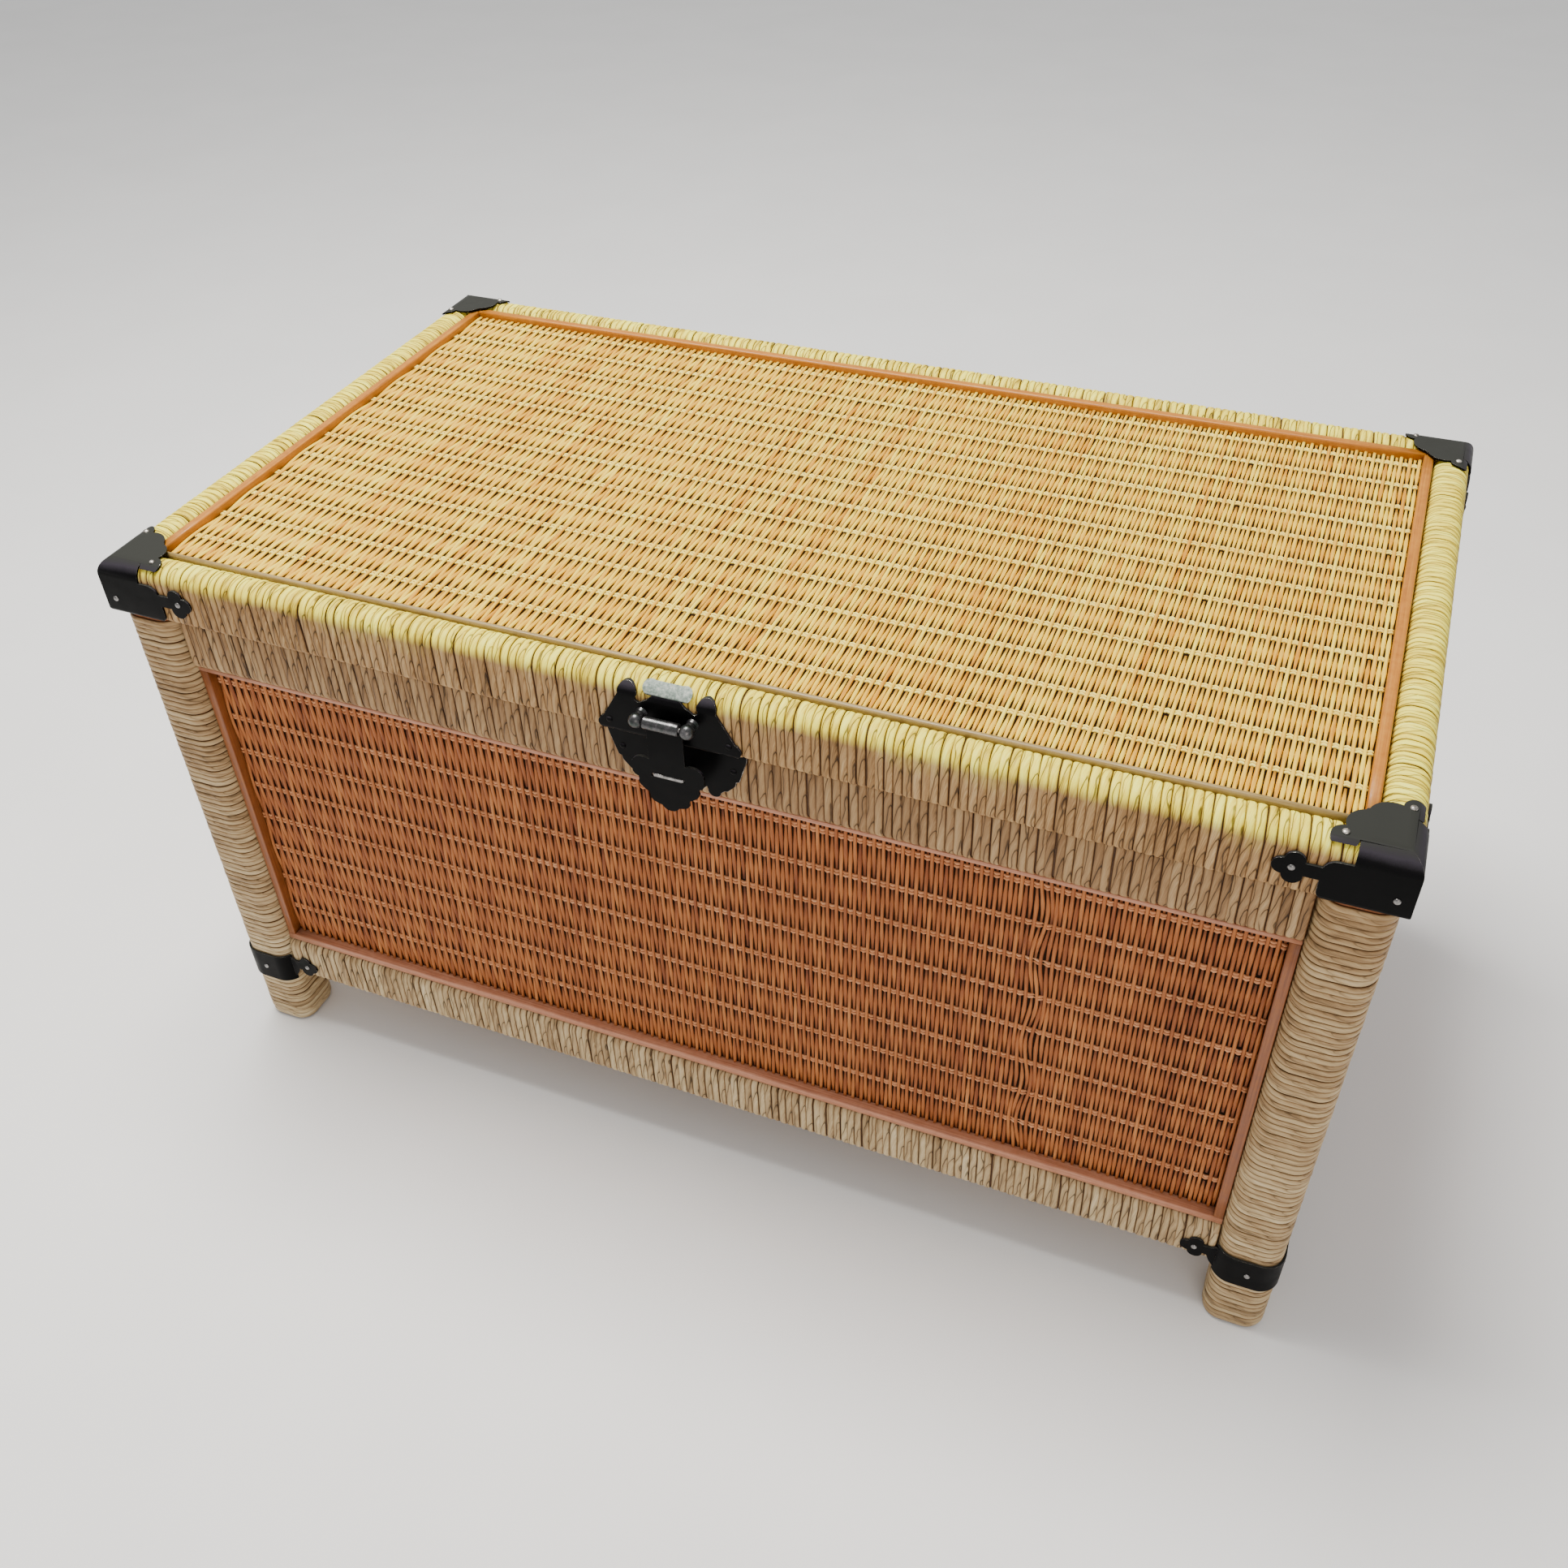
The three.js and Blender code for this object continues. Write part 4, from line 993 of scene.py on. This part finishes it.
def trefoil(u, v, lobe):
    """Three overlapping discs. The tip points to +u."""
    lobes = [(u, v - lobe * 0.95), (u, v + lobe * 0.95), (u + lobe * 1.05, v)]
    return [disc(*middle, lobe) for middle in lobes]


def lid_block(grow, x0, x1, y0, y1):
    """The lid's bullnosed block, grown outwards, between the given limits."""
    radii = [LID_EDGE, LID_EDGE, LID_ROUND + grow, LID_ROUND + grow]
    top = LID_TOP + grow
    across_x = rectangle(-LID_X - grow, LID_X + grow, LID_BOTTOM, top, radii)
    across_y = rectangle(-LID_Y - grow, LID_Y + grow, LID_BOTTOM, top, radii)
    return combined(prism(across_x, "y", y0, y1), prism(across_y, "x", x0, x1), "INTERSECT")


def bracket_tab(corner, axis, start, end):
    """One upright face of a corner bracket, from the corner to its trefoil."""
    leg, leaf = corner + BRACKET_LEG, corner + BRACKET_LEAF
    plate = rectangle(corner - IRON, leg, BRACKET_FOOT, BRACKET_HEAD, [0, 5 * MM, 8 * MM, 0])
    neck = rectangle(leg - 2 * MM, leaf, BRACKET_LEAF_Z - LEAF_WAIST / 2,
                     BRACKET_LEAF_Z + LEAF_WAIST / 2)
    shapes = [plate, neck, *trefoil(leaf, BRACKET_LEAF_Z, 5.6 * MM)]
    return [prism(shape, axis, start, end) for shape in shapes]


def add_brackets():
    x, y = -LID_X - FIT - IRON, -LID_Y - FIT - IRON
    limits = (-FAR, -0.3, -FAR, -0.12)  # round the lid's front left corner
    shell = combined(lid_block(FIT + IRON, *limits), lid_block(FIT, *limits), "DIFFERENCE")
    reach = LID_ROUND - IRON
    high = LID_TOP + 3 * MM
    flat = 34 * MM
    plate = rectangle(x - IRON, x + flat, y - IRON, y + flat, [0, 0, IRON, 0])
    far, near = 42 * MM, 8.5 * MM  # the two ears, from the bracket's corner
    tops = [disc(x + 30 * MM, y + 20 * MM, 13 * MM), disc(x + 20 * MM, y + 30 * MM, 13 * MM),
            disc(x + far, y + near, 7.5 * MM), disc(x + near, y + far, 7.5 * MM)]
    outline = union([
        *bracket_tab(x, "y", y - IRON, y + reach),
        prism(plate, "z", LID_BOTTOM + 28 * MM, high),
        *[prism(shape, "z", LID_TOP - IRON, high) for shape in tops],
    ])
    side = union(bracket_tab(y, "x", x - IRON, x + reach))
    sheet = combined(shell, combined(outline, side, "UNION"), "INTERSECT")
    leaf, end, low = BRACKET_LEAF + 1 * MM, 9 * MM, LID_BOTTOM + 12 * MM
    ear, top = near + 2.3 * MM, LID_TOP + FIT + IRON
    at_corners("lid_bracket", "lid", sheet, [
        (nail(x + leaf, y, BRACKET_LEAF_Z, -Y), 2),
        (nail(x + end, y, low, -Y), 2),
        (nail(x, y + leaf, BRACKET_LEAF_Z, -X), 2),
        (nail(x, y + end, low, -X), 2),
        (nail(x + far, y + ear, top, Z), 1),
        (nail(x + ear, y + far, top, Z), 1),
    ])


def post_column(grow, z0, z1):
    outline = rectangle(-POST_X - grow, -POST_X + POST_SIDE + grow, -POST_Y - grow,
                        -POST_Y + POST_SIDE + grow, [POST_RADIUS + grow] * 4)
    return prism(outline, "z", z0, z1)


def add_straps():
    face_x, face_y = -RAIL_X - FIT, -RAIL_Y - FIT
    column = post_column(FIT, 0, 0.2)
    bay = prism(rectangle(face_x, 0, face_y, 0), "z", 0, 0.2)
    sheets = [cut(post_column(FIT + IRON, STRAP_FOOT, STRAP_HEAD), column, bay)]
    for post, axis, face in ((-POST_X, "y", face_y), (-POST_Y, "x", face_x)):
        leaf = post + STRAP_LEAF
        low, high = STRAP_LEAF_Z - LEAF_WAIST / 2, STRAP_LEAF_Z + LEAF_WAIST / 2
        root = [(post + 38 * MM, 56 * MM), (post + 43.5 * MM, 57 * MM), (post + 46.5 * MM, 61 * MM),
                (post + 49 * MM, low), (leaf, low), (leaf, high), (post + 47 * MM, high),
                (post + 38 * MM, 80 * MM)]
        shapes = [root, *trefoil(leaf, STRAP_LEAF_Z, 5.2 * MM)]
        sheets.append(cut(drawn_out(shapes, axis, face - IRON, face), column))
    outer_x, outer_y = -POST_X - FIT - IRON, -POST_Y - FIT - IRON
    leaf, middle, height = STRAP_LEAF + 1 * MM, 20 * MM, 66 * MM
    at_corners("foot_strap", "body", union(sheets), [
        (nail(-POST_X + leaf, face_y - IRON, STRAP_LEAF_Z, -Y), 2),
        (nail(face_x - IRON, -POST_Y + leaf, STRAP_LEAF_Z, -X), 2),
        (nail(-POST_X + middle, outer_y, height, -Y), 2),
        (nail(outer_x, -POST_Y + middle, height, -X), 2),
    ])


# ---- the lock

PIN_Y = -250.5 * MM
PIN_Z = 442 * MM
HASP_BACK = PIN_Y + 4 * MM
HASP_THICK = 1.6 * MM
LOWER_FACE = -RAIL_Y - FIT - IRON


def millimetres(points):
    return [(u * MM, v * MM) for u, v in points]


def add_upper_plate():
    """The plate on the lid's front: horns, a bright bar over the edge, and two ball knuckles."""
    shell = cut(lid_block(FIT + IRON, -0.06, 0.06, -0.3, -0.1),
                lid_block(FIT, -0.07, 0.07, -0.31, -0.09))
    front = -LID_Y - FIT - IRON
    right = millimetres([
        (0, 423.5), (33, 423.5), (44, 424), (48, 428), (45.6, 432.5), (44.2, 432.8), (31.2, 455.5),
        (20, 456), (20.4, 450.5), (16.2, 450.5), (13, 452.4), (9.2, 456), (7.6, 460), (0, 460)])
    shapes = [both_sides(right), *paired((26.4, 454.6, 6.4), (44, 427.6, 4))]
    plate = drawn_out(shapes, "y", front - 1 * MM, front + LID_ROUND)
    bites = paired((18.5, 451.6, 2.4), (36.5, 421.6, 3))
    plate = cut(plate, *[prism(bite, "y", -0.27, -0.22) for bite in bites])
    flat = [rectangle(-11.4 * MM, 11.4 * MM, -244.5 * MM, -234.6 * MM), *paired((11.4, -239, 5))]
    upright = rectangle(-16.4 * MM, 16.4 * MM, 456 * MM, 470 * MM, [4.6 * MM, 4.6 * MM, 0, 0])
    bar = combined(drawn_out(flat, "z", 455 * MM, 466 * MM), prism(upright, "y", -0.3, -0.2),
                   "INTERSECT")
    hooks = [prism(hook, "z", 0.45, 0.47) for hook in paired((8.9, -243.2, 1.1))]
    sheet = combined(shell, combined(plate, cut(bar, *hooks), "UNION"), "INTERSECT")
    lug = millimetres([(0, 3.1), (3, 3.4), (6.2, 3.2), (8.4, 4.2)])
    extras = []
    for side in (-1, 1):
        x = side * 17 * MM
        extras.append((lathe(lug, (x, PIN_Y, PIN_Z), Y), 2))
        extras.append((ball(4.8 * MM, x, PIN_Y, PIN_Z), 2))
        extras.append((nail(side * 40 * MM, front, 431 * MM, -Y), 0))
    ironwork("lock_plate_upper", "lid", sheet, extras, (lock_iron, worn_edge, gunmetal))


def add_hasp():
    """The leaf with its slot and barrel, and the pin that it turns on."""
    right = millimetres([
        (0, 411), (17, 411.5), (24.4, 407), (24.5, 399), (23.2, 396.6), (20.6, 395.4), (20.4, 393.4),
        (21, 391.4), (19.6, 388.6), (16.6, 386), (13.6, 384.2), (13.3, 382), (13.4, 380),
        (11.6, 377.8), (8.6, 376.6), (6, 376), (4.6, 374.2), (2.4, 372.7), (0, 372.4)])
    neck = rectangle(-12.2 * MM, 12.2 * MM, 408 * MM, PIN_Z)
    shapes = [both_sides(right), neck, *paired((17, 404.6, 7.6))]
    slot = rectangle(-11.5 * MM, 11.5 * MM, 397.8 * MM, 401.2 * MM, [0.5 * MM] * 4)
    leaf = cut(drawn_out(shapes, "y", HASP_BACK - HASP_THICK, HASP_BACK),
               prism(slot, "y", HASP_BACK - 5 * MM, HASP_BACK + 5 * MM),
               rod(3.5 * MM, -20 * MM, 20 * MM, PIN_Y, PIN_Z))
    barrel = rod(4 * MM, -11.8 * MM, 11.8 * MM, PIN_Y, PIN_Z, 0.6 * MM)
    ironwork("hasp", "hasp", leaf, [(barrel, 2)], (iron, worn_edge, gunmetal))
    ironwork("hasp_pin", "lid", rod(1.6 * MM, -21 * MM, 21 * MM, PIN_Y, PIN_Z))


def add_lower_plate():
    """The plate on the body's front, and the staple that stands in the hasp's slot."""
    right = millimetres([
        (0, 420), (30, 420), (38, 419), (44, 419.4), (47.6, 418), (47.2, 414), (41.6, 396.4),
        (39.6, 395.8), (38.8, 392.4), (33.4, 386.6), (31, 386), (28.4, 383.6), (20.6, 383.6),
        (19, 387), (16.4, 384), (12, 381), (0, 380)])
    shapes = [both_sides(right), *paired((24.2, 384.2, 4.4))]
    sheet = drawn_out(shapes, "y", LOWER_FACE, LOWER_FACE + IRON)
    nails = [(nail(side * 38 * MM, LOWER_FACE, 404 * MM, -Y), 0) for side in (-1, 1)]
    ironwork("lock_plate_lower", "body", sheet, nails)

    half = 10.6 * MM
    tip = HASP_BACK - HASP_THICK - 0.4 * MM
    foot = LOWER_FACE - FIT
    loop = rectangle(-half, half, tip, foot, [1.6 * MM, 1.6 * MM, 0, 0])
    hole = rectangle(-half + 3 * MM, half - 3 * MM, tip + 2.4 * MM, foot + 1 * MM)
    staple = cut(prism(loop, "z", 398.3 * MM, 400.7 * MM), prism(hole, "z", 0.39, 0.41))
    ironwork("lock_staple", "body", staple)


# ---- hinges

HINGE_X = 250 * MM
HINGE_Y = 246.8 * MM
HINGE_Z = 421 * MM
HINGE_HALF = 26 * MM
KNUCKLES = 5
KNUCKLE_GAP = 0.5 * MM
HINGE_CORNER = 3 * MM


def hinge_leaf(node, body, x, face, low, high, radii, arm, first, rises):
    """A nailed plate, with an arm to every second knuckle from the first.

    arm is the arm's outline across X. rises are the heights of the outer and the middle nails.
    """
    x0, x1 = x - HINGE_HALF, x + HINGE_HALF
    length = HINGE_HALF * 2 / KNUCKLES
    solids = [prism(rectangle(x0, x1, low, high, radii), "y", face, face + IRON)]
    for i in range(first, KNUCKLES, 2):
        start = x0 + i * length + KNUCKLE_GAP / 2
        end = start + length - KNUCKLE_GAP
        solids.append(rod(4 * MM, start, end, HINGE_Y, HINGE_Z))
        solids.append(prism(arm, "x", start, end))
    bore = rod(1.9 * MM, x0 - 5 * MM, x1 + 5 * MM, HINGE_Y, HINGE_Z)
    outer, middle = rises
    nails = [(nail(x + at * MM, face + IRON, rise * MM, Y), 2)
             for at, rise in ((-18, outer), (0, middle), (18, outer))]
    ironwork(node, body, cut(union(solids), bore), nails)


def add_hinges():
    for side, x in (("left", -HINGE_X), ("right", HINGE_X)):
        face = LID_Y + FIT
        foot = HINGE_Z + 5 * MM
        arm = rectangle(face, face + IRON * 1.7, HINGE_Z + 1 * MM, foot + 1 * MM)
        hinge_leaf(f"hinge_lid_leaf_{side}", "lid", x, face, foot, 452 * MM,
                   [0, 0, HINGE_CORNER, HINGE_CORNER], arm, 1, (439, 445))

        face = RAIL_Y + FIT
        top = 415 * MM
        arm = [(face, top - IRON * 2), (face + IRON, top - IRON * 2),
               (HINGE_Y + 1 * MM, HINGE_Z - 4 * MM), (HINGE_Y - 1 * MM, HINGE_Z - 2.3 * MM),
               (face, top)]
        hinge_leaf(f"hinge_body_leaf_{side}", "body", x, face, 386 * MM, top,
                   [HINGE_CORNER, HINGE_CORNER, 0, 0], arm, 0, (397, 391))

        reach = HINGE_HALF + 1.5 * MM
        pin = rod(1.7 * MM, x - reach, x + reach, HINGE_Y, HINGE_Z, 0.5 * MM)
        ironwork(f"hinge_pin_{side}", "body", pin)


# ---- the pieces

FACES = {"front": (-Y, X), "back": (Y, X), "left": (-X, Y), "right": (X, Y)}  # out and across
FRONT_KINK = (0.236, 7 * MM, 2.2 * MM, 0.08)

woven_panel("lid_panel", "lid", (Z, X, Y), LID_ROWS, lid_cane, lid_stakes, parts=2,
            grow=(LID_SLAT - FRONT_REED, 0.0))
for face, (out, across) in FACES.items():
    woven_panel(f"{face}_panel", "body", (out, across, Z), BODY_ROWS, body_cane,
                body_stakes, grow=(0.0, TOP_STRIP_TRIM),
                kink=FRONT_KINK if face == "front" else None)

for level in ("upper", "lower"):
    for face, (out, along) in FACES.items():
        wound_bar(f"{level}_rail_{face}", "body", (abs(out), Z, along),
                  [6 * MM] * 4, RAIL_PITCH, frame_cord)
for face, (out, along) in FACES.items():
    inner, outer = 10 * MM, 11 * MM
    upper = [outer, inner] if face in ("back", "right") else [inner, outer]
    trim = (11 if face in ("front", "back") else 26) * MM
    wound_bar(f"lid_rail_{face}", "lid", (abs(out), Z, along),
              [3 * MM, 3 * MM, *upper], LID_PITCH, lid_cord, trim)
for end in ("front", "back"):
    for side in ("left", "right"):
        wound_post(f"post_{end}_{side}")
for face, (out, across) in FACES.items():
    bay_trim(face, across, out)
lid_strips()

for name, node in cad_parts.items():
    if "floor" in name or "brace" in name:
        node.data.materials.clear()
        node.data.materials.append(board)

add_brackets()
add_straps()
add_upper_plate()
add_hasp()
add_lower_plate()
add_hinges()


# ---- floor, lights and camera

FLOOR_HALF = 40.0
FLOOR_DROP = 0.5 * MM  # so that it doesn't lie in the same plane as the feet


def add_floor():
    mesh = bpy.data.meshes.new("floor")
    half = FLOOR_HALF
    mesh.from_pydata([(-half, -half, 0), (half, -half, 0), (half, half, 0), (-half, half, 0)], [],
                     [(0, 1, 2, 3)])
    floor = add_object("floor", mesh, [floor_material()])
    floor.location.z = -FLOOR_DROP


def add_light(name, at, aim, size, power, colour):
    data = bpy.data.lights.new(name, "AREA")
    data.shape = "SQUARE"
    data.size = size
    data.energy = power
    data.color = colour
    light = bpy.data.objects.new(name, data)
    light.location = at
    light.rotation_euler = (Vector(aim) - Vector(at)).to_track_quat("-Z", "Y").to_euler()
    bpy.context.scene.collection.objects.link(light)


def add_world():
    """A soft studio dome, bright overhead and dimmer at the sides."""
    world = bpy.data.worlds.new("world")
    world.use_nodes = True
    tree = world.node_tree
    sky = tree.nodes["Background"]
    way = tree.nodes.new("ShaderNodeTexCoord")
    parts = tree.nodes.new("ShaderNodeSeparateXYZ")
    ramp = tree.nodes.new("ShaderNodeValToRGB")
    tree.links.new(way.outputs["Generated"], parts.inputs[0])
    tree.links.new(parts.outputs["Z"], ramp.inputs[0])
    tree.links.new(ramp.outputs["Color"], sky.inputs["Color"])
    ramp.color_ramp.elements[0].color = (0.66, 0.65, 0.64, 1)
    ramp.color_ramp.elements[1].color = (1, 1, 1, 1)
    sky.inputs["Strength"].default_value = 0.72
    bpy.context.scene.world = world


add_camera()
add_floor()
add_world()
add_light("key", (-0.5, 0.1, 2.4), (0, 0, 0.4), 1.1, 95, (1, 0.97, 0.91))
add_light("fill", (1.2, -2.4, 1.3), (0, 0, 0.3), 1.6, 17, (1, 0.9, 0.82))
